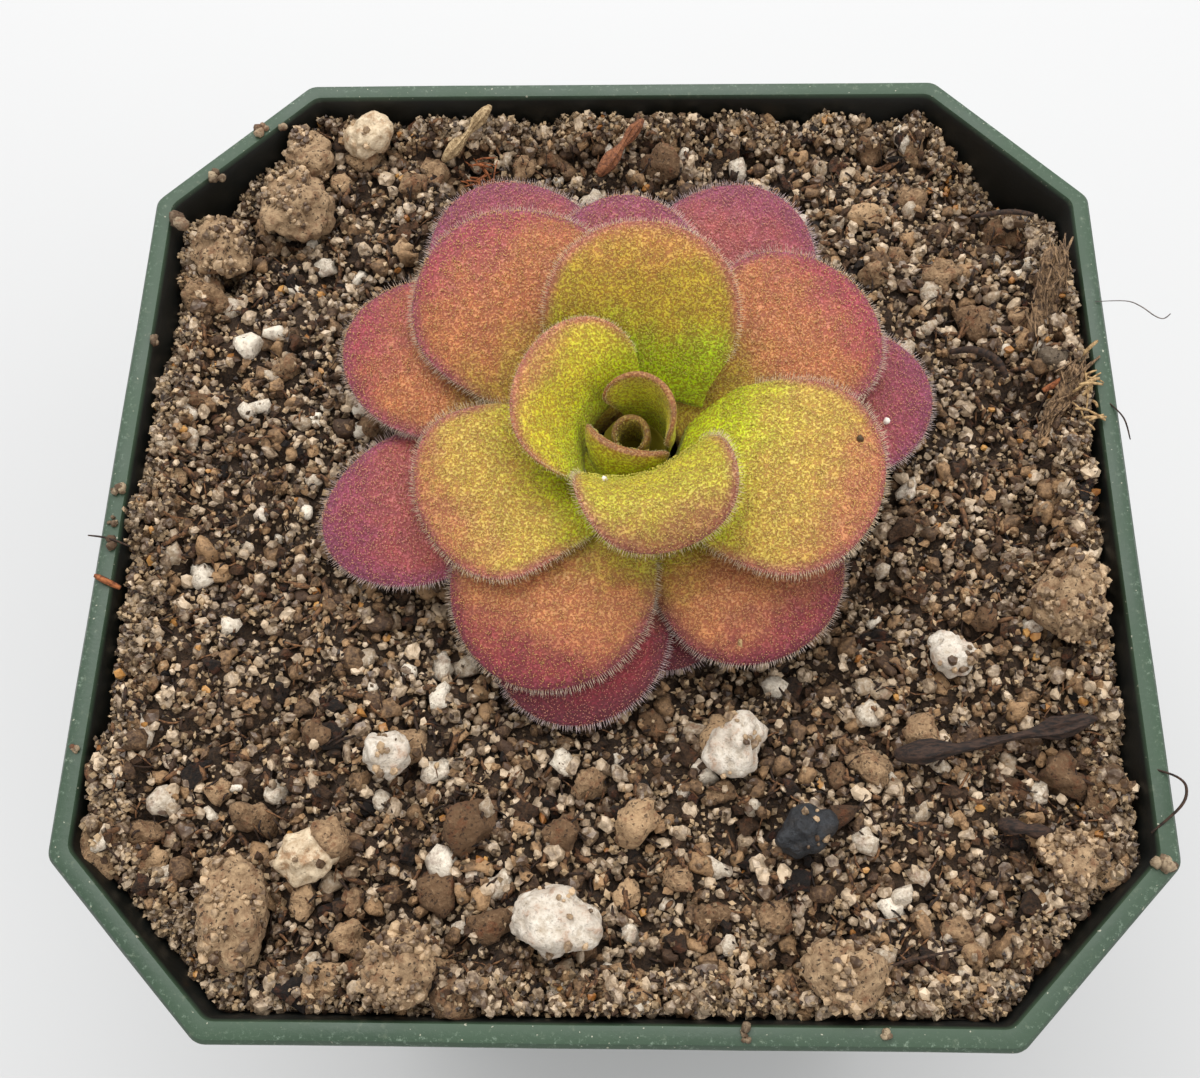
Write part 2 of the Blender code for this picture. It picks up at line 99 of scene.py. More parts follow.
def pot_ring(half, height):
    """The plan of the pot at a height: a square with cut corners, as a ring of points."""
    chamfer = corner_cut(half)
    inner = half - chamfer
    corners = []
    for turn in range(4):
        spin = Matrix.Rotation(math.radians(90 * turn), 2)
        corners += [spin @ Vector((half, -inner)), spin @ Vector((half, inner))]
    ring = []
    for index, corner in enumerate(corners):
        after = corners[(index + 1) % 8]
        reach = corner_round * math.tan(math.radians(22.5))
        start = corner + (corners[index - 1] - corner).normalized() * reach
        end = corner + (after - corner).normalized() * reach
        for step in range(5):
            share = step / 4
            ring.append(start.lerp(corner, share).lerp(corner.lerp(end, share), share))
        target = after + (corner - after).normalized() * reach
        pieces = 9 if index % 2 == 0 else 4
        ring += [end.lerp(target, step / pieces) for step in range(1, pieces)]
    return [(point.x, point.y, height) for point in ring]


def add_object(name, data):
    thing = bpy.data.objects.new(name, data)
    bpy.context.scene.collection.objects.link(thing)
    return thing


def add_piece(name, verts, faces, material, smooth=True):
    mesh = bpy.data.meshes.new(name)
    mesh.from_pydata(verts, [], faces)
    mesh.polygons.foreach_set("use_smooth", [smooth] * len(mesh.polygons))
    mesh.materials.append(material)
    return add_object(name, mesh)


def object_of(bm, name):
    """An object made of a bmesh, which is freed."""
    mesh = bpy.data.meshes.new(name)
    bm.to_mesh(mesh)
    bm.free()
    return add_object(name, mesh)


def mark(mesh, name, values):
    """Gives each point of a mesh a number that its material can read."""
    mesh.attributes.new(name, "FLOAT", "POINT").data.foreach_set("value", values)


def finish_piece(piece, slot, *nodes):
    """Every piece rides on the one body, and the frame's nodes that it stands for are hidden. The slot is not
    used.
    """
    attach(piece, "root")
    if nodes:
        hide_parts(*nodes)


def bare_material(name, roughness):
    """A new material of one roughness, with its node tree and its shader."""
    material = bpy.data.materials.new(name)
    material.use_nodes = True
    shader = material.node_tree.nodes["Principled BSDF"]
    shader.inputs["Roughness"].default_value = roughness
    return material, material.node_tree, shader


def feed(tree, socket, value):
    """Joins a socket to another node's output, or sets it to a plain value."""
    if isinstance(value, bpy.types.NodeSocket):
        tree.links.new(value, socket)
    else:
        socket.default_value = value


def add_node(tree, kind, **settings):
    """A node with its settings; a key that names a socket feeds that socket."""
    node = tree.nodes.new(kind)
    for key, value in settings.items():
        if hasattr(node, key):
            setattr(node, key, value)
        else:
            feed(tree, node.inputs[key.replace("_", " ")], value)
    return node


def math_of(tree, operation, *values, kind="ShaderNodeMath"):
    node = add_node(tree, kind, operation=operation)
    for socket, value in zip(node.inputs, values):
        feed(tree, socket, value)
    return node.outputs[0]


def mark_of(tree, name):
    return add_node(tree, "ShaderNodeAttribute", attribute_name=name).outputs["Fac"]


def mix_colours(tree, factor, first, second, blend="MIX"):
    """A colour mix. Each of the three may be a socket or a plain value."""
    node = add_node(tree, "ShaderNodeMix", data_type="RGBA", blend_type=blend)
    for socket, value in ((node.inputs[0], factor), (node.inputs[6], first), (node.inputs[7], second)):
        feed(tree, socket, value)
    return node.outputs[2]


def spread(tree, value, low, high, to_low=0.0, to_high=1.0):
    """Maps a value smoothly from one range to another."""
    node = add_node(
        tree, "ShaderNodeMapRange", interpolation_type="SMOOTHSTEP", Value=value,
        From_Min=low, From_Max=high, To_Min=to_low, To_Max=to_high,
    )
    return node.outputs["Result"]


def millimetres(tree):
    """The object's own coordinates, counted in millimetres."""
    place = add_node(tree, "ShaderNodeTexCoord")
    scale = add_node(tree, "ShaderNodeVectorMath", operation="SCALE", Scale=1.0 / MM)
    feed(tree, scale.inputs[0], place.outputs["Object"])
    return scale.outputs[0]


def noise_of(tree, vector, scale, detail=2.0, roughness=0.5):
    node = add_node(
        tree, "ShaderNodeTexNoise", Vector=vector, Scale=scale, Detail=detail, Roughness=roughness
    )
    return node.outputs["Fac"]


def bump_into(tree, shader, height, distance, strength=1.0):
    node = add_node(tree, "ShaderNodeBump", Distance=distance, Strength=strength, Height=height)
    feed(tree, shader.inputs["Normal"], node.outputs["Normal"])


def pot_plastic():
    material, tree, shader = bare_material("pot_plastic", 0.5)
    place = millimetres(tree)
    broad = noise_of(tree, place, 0.12, 3.0)
    colour = mix_colours(tree, spread(tree, broad, 0.35, 0.7), tone(48, 67, 50), tone(54, 74, 55))
    dust = spread(tree, noise_of(tree, place, 1.3, 4.0, 0.7), 0.56, 0.74, 0.0, 0.4)
    colour = mix_colours(tree, dust, colour, tone(104, 112, 92))
    speck = spread(tree, noise_of(tree, place, 3.1, 1.0), 0.73, 0.78, 0.0, 0.8)
    colour = mix_colours(tree, speck, colour, tone(168, 166, 146))
    scuff = spread(tree, noise_of(tree, place, 2.6, 5.0, 0.8), 0.54, 0.66, 0.0, 0.5)
    scuff = math_of(tree, "MULTIPLY", scuff, mark_of(tree, "rim_wear"))
    colour = mix_colours(tree, scuff, colour, tone(128, 146, 128))
    # The bore is mixed to near black up to just under the rim: painted shade on the inner walls.
    colour = mix_colours(tree, mark_of(tree, "painted_bore_shade"), colour, tone(11, 15, 11))
    feed(tree, shader.inputs["Base Color"], colour)
    feed(tree, shader.inputs["Roughness"], spread(tree, broad, 0.3, 0.7, 0.42, 0.6))
    bump_into(tree, shader, noise_of(tree, place, 2.2, 4.0, 0.6), 0.05 * MM, 0.6)
    return material


def mark_wear_and_bore_shade(mesh):
    """The bore is painted near black up to just under the rim, as painted shade on its inner walls, and the
    rim's outer edge is scuffed pale.
    """
    stain, worn = [], []
    for vert in mesh.vertices:
        x, y, z = vert.co
        # The bore's painted shade: every point inside the walls above the floor, up to just under the rim.
        inside = in_pot(x, y, -0.25 * MM, z) and z > 2.0 * floor_thickness
        stain.append(1.0 if inside and z < rim_top - 0.3 * MM else 0.0)
        outer = z > rim_top - 0.6 * MM and not in_pot(x, y, -0.8 * MM, z)
        worn.append(1.0 if outer else 0.0)
    mark(mesh, "painted_bore_shade", stain)
    mark(mesh, "rim_wear", worn)


def build_pot():
    body = [body_half(shoulder * share) for share in (0.15, 0.35, 0.55, 0.75, 0.95)]
    profile = [(foot_half - foot_bevel, 0.0), (foot_half - 0.2 * MM, 0.25 * MM), (foot_half, foot_bevel)]
    profile += [(half, (half - foot_half) / (rim_half - band_step - foot_half) * shoulder) for half in body]
    profile += [
        (body_half(shoulder) - 0.05 * MM, shoulder - 0.4 * MM),
        (rim_half - 1.2 * MM, shoulder - 0.1 * MM),
        (rim_half - 0.85 * MM, shoulder + 0.5 * MM),
        (rim_half - 0.4 * MM, rim_top - 5.0 * MM),
        (rim_half, rim_top - 0.8 * MM),
        (rim_half - 0.06 * MM, rim_top - 0.35 * MM),
        (rim_half - 0.3 * MM, rim_top - 0.05 * MM),
        (rim_half - 0.55 * MM, rim_top),
        (rim_half - rim_wall + 0.5 * MM, rim_top),
        (rim_half - rim_wall + 0.2 * MM, rim_top - 0.08 * MM),
        (rim_half - rim_wall, rim_top - 0.45 * MM),
        (bore_half(rim_top - 1.1 * MM), rim_top - 1.1 * MM),
        (bore_half(rim_top - 3.0 * MM), rim_top - 3.0 * MM),
        (bore_half(shoulder), shoulder),
        (bore_half(floor_thickness + 1.0 * MM), floor_thickness + 1.0 * MM),
        (bore_half(floor_thickness) - 0.6 * MM, floor_thickness),
    ]
    rings = [pot_ring(half, height) for half, height in profile]
    count = len(rings[0])
    verts = []
    for ring in rings:
        for x, y, z in ring:
            warp = 1.0 - 0.0022 * abs(noise.noise(Vector((x, y, z * 0.4)) * 55.0))
            verts.append((x * warp, y * warp, z))
    faces = []
    for level in range(len(rings) - 1):
        for index in range(count):
            after = (index + 1) % count
            low, high = level * count, (level + 1) * count
            faces.append((low + index, low + after, high + after, high + index))
    faces.append(tuple(reversed(range(count))))
    faces.append(tuple(range((len(rings) - 1) * count, len(rings) * count)))
    pot = add_piece("green_pot", verts, faces, pot_plastic())
    bm = bmesh.new()
    for side_x in (-1, 1):
        for side_y in (-1, 1):
            place = Matrix.Translation((side_x * drain_offset, side_y * drain_offset, floor_thickness / 2))
            bmesh.ops.create_cone(
                bm,
                cap_ends=True,
                segments=40,
                radius1=drain_radius,
                radius2=drain_radius,
                depth=4 * floor_thickness,
                matrix=place,
            )
    drills = object_of(bm, "drills")
    cut = pot.modifiers.new("drain", "BOOLEAN")
    cut.object = drills
    cut.operation = "DIFFERENCE"
    bpy.context.view_layer.update()
    drilled = bpy.data.meshes.new_from_object(pot.evaluated_get(bpy.context.evaluated_depsgraph_get()))
    pot.modifiers.clear()
    pot.data = drilled
    bpy.data.objects.remove(drills)
    drilled.shade_smooth()
    drilled.set_sharp_from_angle(angle=math.radians(32))
    mark_wear_and_bore_shade(drilled)
    finish_piece(pot, "pot_plastic", "pot")


build_pot()

# The soil is a gritty mix of sand, pumice and a little peat. What lies between the loose grains is a dark
# bed of peat dust: the solid from the frame, with its top let down and roughened.
bed_drop = 1.5 * MM
bed_roughness = 0.7 * MM
pit_depth = 1.3 * MM
pit_pitch = 210.0
pit_edge_pitch = 480.0
bed_pitch = 900.0
# Hollows and heaps in the surface, as place, radius and depth in millimetres. The hollows are left of the
# rosette, below it and in two corners. The heaps, of less than no depth, are where grit was pushed up.
HOLLOWS = [
    (-9.0, -13.5, 5.5, 0.7), (-15.5, 6.0, 3.5, 0.6), (-33.5, 27.0, 2.4, 1.6), (32.5, 29.5, 3.0, 1.6),
    (-36.4, -19.7, 5.0, -1.3), (-37.1, -0.2, 4.5, -1.1), (-36.9, -7.3, 3.0, -0.6), (37.5, 17.7, 5.5, -1.2),
    (37.4, 6.4, 5.5, -1.3), (37.6, -0.1, 4.0, -0.7), (7.3, -36.5, 4.0, -0.9), (0.2, -36.5, 3.0, -0.6),
]
soil_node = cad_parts["soil"]
crown_low, crown_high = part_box("crown")
crown_x = (crown_low.x + crown_high.x) / 2
crown_y = (crown_low.y + crown_high.y) / 2


def new_group(name, inputs, outputs):
    """A shader node group. A default of four numbers makes a colour, three a vector and one a plain value."""
    group = bpy.data.node_groups.new(name, "ShaderNodeTree")
    kinds = {1: "NodeSocketFloat", 3: "NodeSocketVector", 4: "NodeSocketColor"}
    for label, default in inputs.items():
        socket = group.interface.new_socket(name=label, in_out="INPUT", socket_type=kinds[np.size(default)])
        socket.default_value = default
    for label in outputs:
        kind = kinds[4 if label == "Color" else 1]
        group.interface.new_socket(name=label, in_out="OUTPUT", socket_type=kind)
    return group, group.nodes.new("NodeGroupInput").outputs, group.nodes.new("NodeGroupOutput").inputs


def mineral_group():
    """Mottled stone: two colours mixed by each grain's own tone and by noise, with pits that are sunk in the
    bump and darkened as painted shade.
    """
    group, given, made = new_group(
        "mottled_mineral",
        {
            "Dark Colour": (0.1, 0.1, 0.1, 1.0),
            "Light Colour": (0.5, 0.5, 0.5, 1.0),
            "Stain Colour": (0.1, 0.05, 0.02, 1.0),
            "Stain Amount": 0.3,
            "Grain Tone": 0.5,
            "Mottle Scale": 2.0,
            "Pore Amount": 0.5,
        },
        ("Color", "Height"),
    )
    place = millimetres(group)
    mottle = noise_of(group, place, given["Mottle Scale"], 5.0, 0.65)
    shift = math_of(group, "SUBTRACT", given["Grain Tone"], 0.75)
    share = spread(group, math_of(group, "MULTIPLY_ADD", mottle, 1.5, shift), 0.0, 1.0)
    base = mix_colours(group, share, given["Dark Colour"], given["Light Colour"])
    patch = spread(group, noise_of(group, place, 0.9, 4.0, 0.7), 0.5, 0.68)
    amount = math_of(group, "MULTIPLY", patch, given["Stain Amount"])
    stained = mix_colours(group, amount, base, given["Stain Colour"])
    warp = noise_of(group, place, 2.0, 2.0)
    bent = math_of(group, "ADD", place, warp, kind="ShaderNodeVectorMath")
    holes = add_node(group, "ShaderNodeTexVoronoi", Vector=bent, Scale=2.6, Randomness=1.0)
    # The pits are sunk in the relief and also darkened in colour: painted shade in the pores.
    hollow = spread(group, holes.outputs["Distance"], 0.12, 0.3, 1.0, 0.0)
    hollow = math_of(group, "MULTIPLY", hollow, given["Pore Amount"])
    feed(group, made["Color"], mix_colours(group, hollow, stained, tone(46, 30, 20)))
    feed(group, made["Height"], math_of(group, "SUBTRACT", mottle, hollow))
    return group


mottled_mineral = mineral_group()


def lay_on(tree, shader, group, depth):
    """Lays a group's colour and relief on a shader. The relief's depth is in millimetres."""
    feed(tree, shader.inputs["Base Color"], group.outputs["Color"])
    bump_into(tree, shader, group.outputs["Height"], depth * MM)


def mineral(name, dark, light, stain, stain_amount, roughness, scale=2.0, pits=0.1, pores=0.0, toned=True):
    """A stone material of screen colours. Where toned, each grain's own tone comes from its mesh."""
    material, tree, shader = bare_material(name, roughness)
    group = add_node(
        tree, "ShaderNodeGroup", node_tree=mottled_mineral,
        Dark_Colour=tone(*dark), Light_Colour=tone(*light), Stain_Colour=tone(*stain),
        Stain_Amount=stain_amount, Mottle_Scale=scale, Pore_Amount=pores,
    )
    if toned:
        feed(tree, group.inputs["Grain Tone"], mark_of(tree, "grain_tone"))
    lay_on(tree, shader, group, pits)
    return material


def hollow_depth(x, y):
    """How much the loose surface sinks at a place: small pits all over, and the hollows and heaps."""
    pit = noise.noise(Vector((x * pit_pitch, y * pit_pitch, 3.7)))
    pit += 0.5 * noise.noise(Vector((x * pit_edge_pitch, y * pit_edge_pitch, 9.1)))
    depth = pit_depth * min(max((pit - 0.12) / 0.3, 0.0), 1.0)
    for place_x, place_y, radius, drop in HOLLOWS:
        away = math.hypot(x - place_x * MM, y - place_y * MM) / (radius * MM)
        depth += drop * MM * max(0.0, 1.0 - away * away)
    return depth


def build_bed():
    bm = bmesh.new()
    bm.from_mesh(soil_node.data)
    bmesh.ops.remove_doubles(bm, verts=bm.verts, dist=0.001 * MM)
    bm.normal_update()
    low_limit = rim_top - 8.0 * MM
    top = [face for face in bm.faces if face.normal.z > 0.3 and face.calc_center_median().z > low_limit]
    edges = list({edge for face in top for edge in face.edges})
    bmesh.ops.subdivide_edges(bm, edges=edges, cuts=1, use_grid_fill=True)
    for vert in bm.verts:
        if vert.co.z > low_limit:
            rough = noise.fractal(vert.co * bed_pitch, 1.0, 2.0, 3)
            vert.co.z += bed_roughness * rough - bed_drop - hollow_depth(vert.co.x, vert.co.y)
    bed = object_of(bm, "peat_bed")
    bed.data.materials.append(
        mineral("peat", (14, 10, 7), (88, 66, 46), (60, 42, 28), 0.6, 0.95, 4.2, 0.6, toned=False)
    )
    finish_piece(bed, "soil_grit", "soil")


build_bed()

# The loose grit on top is washed sand, crushed quartz, brown and pale grit, and crumbs of pumice and peat.
# The grains are dropped one by one, kind by kind, and each raises the heap that it lands on.
CELL = 0.25 * MM
cells_half = int(37.0 * MM / CELL)
drop_reach = 36.5 * MM
leaf_reach = 26.0 * MM
crown_clear = 11.0 * MM
cell_places = np.arange(-cells_half, cells_half + 1) * CELL


def tree_of(nodes):
    """One search tree over the faces of several CAD nodes."""
    verts = []
    faces = []
    for node in nodes:
        start = len(verts)
        verts += [vert.co.copy() for vert in node.data.vertices]
        faces += [[start + index for index in polygon.vertices] for polygon in node.data.polygons]
    return BVHTree.FromPolygons(verts, faces)


leaf_cover = tree_of([node for name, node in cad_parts.items() if name.startswith("leaf_")])


def from_crown(x, y):
    return math.hypot(x - crown_x, y - crown_y)


def cell_of(x, y):
    """The row and column of the height maps at a place."""
    return [min(max(int(round(value / CELL)) + cells_half, 0), len(cell_places) - 1) for value in (x, y)]


def soil_heights():
    """The frame's soil surface, and the underside of the leaves over it, as height maps."""
    ground = tree_of([soil_node])
    surface = np.zeros((len(cell_places), len(cell_places)))
    ceiling = np.full(surface.shape, rim_top + 20.0 * MM)
    for row, x in enumerate(cell_places):
        for column, y in enumerate(cell_places):
            hit = ground.ray_cast(Vector((x, y, rim_top + 5.0 * MM)), Vector((0, 0, -1)))[0]
            surface[row, column] = hit.z if hit else rim_top - 4.0 * MM
            if from_crown(x, y) < leaf_reach:
                under = leaf_cover.ray_cast(Vector((x, y, rim_top - 8.0 * MM)), Vector((0, 0, 1)))[0]
                if under:
                    ceiling[row, column] = under.z
    return surface, ceiling


soil_top, leaf_ceiling = soil_heights()
for row, x in enumerate(cell_places):
    for column, y in enumerate(cell_places):
        soil_top[row, column] -= hollow_depth(x, y)
heap = soil_top - bed_drop


def grain_shapes(subdivisions, roughness, count, seed):
    """Unit grains with uneven sides, as arrays of points with the triangles that they share.

    Without subdivisions a grain is a crystal of eight faces.
    """
    bm = bmesh.new()
    if subdivisions:
        bmesh.ops.create_icosphere(bm, subdivisions=subdivisions, radius=1.0)
    else:
        bmesh.ops.create_uvsphere(bm, u_segments=4, v_segments=2, radius=1.0)
    points = np.array([vert.co[:] for vert in bm.verts])
    faces = np.array([[vert.index for vert in face.verts] for face in bm.faces])
    bm.free()
    shapes = []
    for number in range(count):
        offset = Vector((seed, number * 3.7, seed * 1.9))
        swell = [noise.noise(Vector(point) * 0.9 + offset) for point in points]
        fine = [noise.noise(Vector(point) * 2.3 + offset) for point in points]
        size = 1.0 + roughness * (1.4 * np.array(swell) + 0.8 * np.array(fine))
        shapes.append(points * size[:, None])
    return shapes, faces


def random_turns(draw, count):
    """Random rotations, as matrices."""
    q = draw.normal(size=(count, 4))
    w, x, y, z = (q / np.linalg.norm(q, axis=1)[:, None]).T
    rows = [
        [1 - 2 * (y * y + z * z), 2 * (x * y - z * w), 2 * (x * z + y * w)],
        [2 * (x * y + z * w), 1 - 2 * (x * x + z * z), 2 * (y * z - x * w)],
        [2 * (x * z - y * w), 2 * (y * z + x * w), 1 - 2 * (x * x + y * y)],
    ]
    return np.array(rows).transpose(2, 0, 1)


def grain_mesh(name, grains, shapes, faces, material, draw, smooth):
    """One piece of many grains. Grains are rows of x, y, z and three half sizes."""
    grains = np.array(grains)
    turns = random_turns(draw, len(grains))
    picks = draw.integers(0, len(shapes), len(grains))
    tones = draw.beta(1.5, 1.9, len(grains))
    unit = np.array(shapes)[picks]
    points = np.einsum("gij,gnj->gni", turns, unit * grains[:, None, 3:6]) + grains[:, None, 0:3]
    count = points.shape[1]
    starts = np.arange(len(grains)) * count
    triangles = (faces[None, :, :] + starts[:, None, None]).reshape(-1, 3)
    piece = add_piece(name, points.reshape(-1, 3).tolist(), triangles.tolist(), material, smooth)
    mark(piece.data, "grain_tone", np.repeat(tones, count).astype(np.float32))
    return piece


def drop_grain(draw, radius, tries, over, by_wall):
    """Lets one grain fall where there is most room among a few places, and gives where it comes to rest."""
    best = None
    for _ in range(tries):
        x, y = draw.uniform(-drop_reach, drop_reach, 2)
        if not in_pot(x, y, radius * 0.85, rim_top - 1.6 * MM):
            continue
        if by_wall and in_pot(x, y, WALL_BAND, rim_top - 3.0 * MM):
            continue
        if from_crown(x, y) < crown_clear:
            continue
        row, column = cell_of(x, y)
        room = soil_top[row, column] - heap[row, column]
        if best is None or room > best[0]:
            best = (room, x, y, row, column)
    if best is None or best[0] < -over:
        return None
    room, x, y, row, column = best
    reach = max(1, int(radius / CELL))
    rows = slice(max(row - reach, 0), row + reach + 1)
    columns = slice(max(column - reach, 0), column + reach + 1)
    away = np.hypot(cell_places[rows][:, None] - x, cell_places[columns][None, :] - y)
    dome = np.sqrt(np.clip(radius**2 - away**2, 0.0, None))
    under = dome > 0.3 * radius
    if not under.any():
        return None
    rest = heap[rows, columns][under].mean() + 0.45 * radius
    if rest + 0.9 * radius > leaf_ceiling[row, column]:
        return None
    top = np.where(dome > 0, rest + dome * 0.85, -1.0)
    heap[rows, columns] = np.maximum(heap[rows, columns], top)
    return x, y, rest


# Grit was heaped against the walls as the pot was filled. This share of the grains falls in a band beside
# them, and may stand this much higher there.
WALL_BAND = 2.8 * MM
WALL_SHARE = 0.34
WALL_OVER = 1.3 * MM
rust_stain = (112, 62, 34)
dark_stain = (40, 28, 19)
peat_finish = mineral("peat_crumb", (24, 17, 12), (86, 62, 42), rust_stain, 0.45, 0.95, 3.4, 0.4, 0.5)
brown_finish = mineral("brown_grit_stone", (66, 46, 30), (170, 134, 96), dark_stain, 0.5, 0.7, 2.6, 0.2, 0.3)
quartz_finish = mineral("quartz_grain", (84, 64, 48), (208, 184, 154), dark_stain, 0.4, 0.32, 2.0, 0.06)
pumice_finish = mineral(
    "tan_pumice_crumb", (104, 78, 54), (190, 156, 118), rust_stain, 0.6, 0.9, 2.8, 0.35, 0.6
)
pale_finish = mineral(
    "pale_grit_stone", (150, 128, 102), (238, 226, 206), rust_stain, 0.45, 0.6, 2.8, 0.2, 0.25
)
amber_finish = mineral("amber_grain", (140, 90, 44), (196, 146, 82), rust_stain, 0.5, 0.4, 1.5, 0.05)
sand_finish = mineral("sand_grain", (48, 34, 24), (186, 158, 122), dark_stain, 0.4, 0.5, 2.0, 0.05)
# Each kind of grain: name, how many are dropped, least and most radius in millimetres, subdivisions of its
# ball, unevenness, how far it may stand over the frame's surface, its material, and whether it is smooth
GRAIN_KINDS = [
    ("tan_pumice_crumbs", 100, 0.8, 1.6, 3, 0.46, 0.5, pumice_finish, True),
    ("pale_grit", 300, 0.4, 0.95, 2, 0.5, 0.5, pale_finish, True),
    ("peat_crumbs", 160, 0.5, 0.9, 2, 0.85, 0.1, peat_finish, False),
    ("brown_grit", 480, 0.5, 0.8, 2, 0.55, 0.4, brown_finish, True),
    ("peat_crumbs_small", 900, 0.3, 0.55, 1, 0.6, 0.1, peat_finish, False),
    ("brown_grit_small", 2600, 0.3, 0.52, 1, 0.45, 0.4, brown_finish, False),
    ("quartz_sand", 760, 0.42, 0.62, 2, 0.42, 0.4, quartz_finish, False),
    ("quartz_sand_small", 4000, 0.26, 0.44, 1, 0.38, 0.4, quartz_finish, False),
    ("amber_grains", 150, 0.2, 0.42, 1, 0.4, 0.3, amber_finish, False),
    ("fine_sand", 13000, 0.14, 0.31, 0, 0.3, 0.5, sand_finish, False),
]
WALL_TRIES = 16
OPEN_TRIES = 4


def build_grains():
    draw = np.random.default_rng(5)
    for number, (name, count, low, high, level, uneven, over, material, smooth) in enumerate(GRAIN_KINDS):
        radii = np.sort(draw.uniform(low, high, count))[::-1] * MM
        grains = []
        beside = draw.uniform(0, 1, count) < WALL_SHARE
        for radius, by_wall in zip(radii, beside):
            tries = WALL_TRIES if by_wall else OPEN_TRIES
            landed = drop_grain(draw, radius, tries, over * MM + WALL_OVER * by_wall, by_wall)
            if landed is None:
                continue
            flat = radius * draw.uniform(0.66, 1.28, 3)
            grains.append((*landed, *flat))
        shapes, faces = grain_shapes(level, uneven, 14, number * 5.3 + 1.0)
        piece = grain_mesh(name, grains, shapes, faces, material, draw, smooth)
        finish_piece(piece, "soil_grit")


build_grains()

# The larger bits lie in the grit, each in its own hollow: tan pumice with sand stuck to it, white perlite,
# two pale chips and one piece of charcoal. Each keeps the place and size of its solid in the frame.
STONE_FINISHES = {
    "pumice": mineral(
        "pumice_stone", (104, 78, 54), (190, 160, 124), (104, 62, 36), 0.6, 0.92, 1.5, 0.4, 0.7, False
    ),
    "perlite": mineral(
        "perlite_stone", (166, 148, 126), (242, 234, 220), (150, 108, 74), 0.7, 0.85, 1.8, 0.3, 0.15,
        False,
    ),
    "quartz": mineral(
        "pale_chip", (160, 134, 102), (232, 212, 180), (142, 98, 58), 0.7, 0.6, 1.6, 0.25, 0.2, False
    ),
    "charcoal": mineral(
        "charcoal_lump", (16, 17, 19), (50, 52, 56), (60, 50, 40), 0.4, 0.6, 2.0, 0.3, 0.2, False
    ),
}
# How deep the clefts between a stone's clumps are, and how many grains of sand cling to it
STONE_CLUMP = {"pumice": 1.0 * MM, "perlite": 0.6 * MM, "quartz": 0.4 * MM, "charcoal": 0.3 * MM}
STUCK_SAND = {"pumice": 110, "perlite": 14, "quartz": 10, "charcoal": 8}


def worn_copy(name, node, cuts, broad, fine, pitch, material, clumped=0.0):
    """A finer copy of a node of the frame, its faces cut smaller and its skin made uneven or clumped."""
    bm = bmesh.new()
    bm.from_mesh(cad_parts[node].data)
    bmesh.ops.remove_doubles(bm, verts=bm.verts, dist=0.001 * MM)
    bmesh.ops.subdivide_edges(bm, edges=bm.edges[:], cuts=cuts, use_grid_fill=True, smooth=0.6)
    bm.normal_update()
    moves = []
    for vert in bm.verts:
        place = vert.co * pitch
        rough = noise.fractal(place, 1.0, 2.0, 2) * broad + noise.noise(place * 4.0) * fine
        if clumped:
            near, next_near = noise.voronoi(place * 1.3)[0][:2]
            rough += clumped * (min(next_near - near, 0.35) - 0.25)
        moves.append(vert.normal * rough)
    for vert, move in zip(bm.verts, moves):
        vert.co += move
    piece = object_of(bm, name)
    piece.data.shade_smooth()
    piece.data.materials.append(material)
    return piece


def build_stones():
    draw = np.random.default_rng(8)
    stuck = []
    for name in sorted(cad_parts):
        kind = name.split("_")[0]
        if kind not in STONE_FINISHES:
            continue
        piece = worn_copy(
            name + "_stone", name, 4, 0.55 * MM, 0.16 * MM, 420.0, STONE_FINISHES[kind], STONE_CLUMP[kind]
        )
        finish_piece(piece, kind, name)
        verts = [vert for vert in piece.data.vertices if vert.normal.z > 0.1]
        for pick in draw.integers(0, len(verts), STUCK_SAND[kind] * 2):
            if noise.noise(verts[pick].co * 430.0) < -0.02:
                continue
            radius = draw.uniform(0.1, 0.3) * MM * draw.uniform(0.8, 1.6)
            spot = verts[pick].co + verts[pick].normal * radius * 0.3
            stuck.append((*spot, *(radius * draw.uniform(0.75, 1.2, 3))))
    shapes, faces = grain_shapes(1, 0.3, 8, 61.0)
    sand = mineral("stuck_sand_grain", (72, 52, 36), (196, 166, 130), dark_stain, 0.4, 0.45, 2.0, 0.05)
    finish_piece(grain_mesh("sand_on_stones", stuck, shapes, faces, sand, draw, False), "soil_grit")


build_stones()

# Rotted wood makes the dark threads of the mix: short fibres of peat and root, and slivers of bark. They
# lie in and over the grit as they fell.
strand_sides = 4
fibre_reach = 35.0 * MM
fibre_clear = 19.0 * MM


def dry_fibre_group():
    """Dry plant fibre: streaks drawn out along one direction, dark in the furrows and pale on the ridges."""
    group, given, made = new_group(
        "dry_fibre",
        {
            "Furrow Colour": (0.05, 0.03, 0.02, 1.0),
            "Ridge Colour": (0.3, 0.2, 0.1, 1.0),
            "Stretch": (1.0, 1.0, 1.0),
        },
        ("Color", "Height"),
    )
    place = math_of(group, "MULTIPLY", millimetres(group), given["Stretch"], kind="ShaderNodeVectorMath")
    streaks = noise_of(group, place, 1.0, 4.0, 0.7)
    ridges = spread(group, streaks, 0.35, 0.65)
    feed(group, made["Color"], mix_colours(group, ridges, given["Furrow Colour"], given["Ridge Colour"]))
    feed(group, made["Height"], streaks)
    return group


dry_fibre = dry_fibre_group()


def fibre_material(name, furrow, ridge, stretch, depth=0.08):
    material, tree, shader = bare_material(name, 0.85)
    group = add_node(
        tree, "ShaderNodeGroup", node_tree=dry_fibre,
        Furrow_Colour=tone(*furrow), Ridge_Colour=tone(*ridge), Stretch=stretch,
    )
    lay_on(tree, shader, group, depth)
    return material


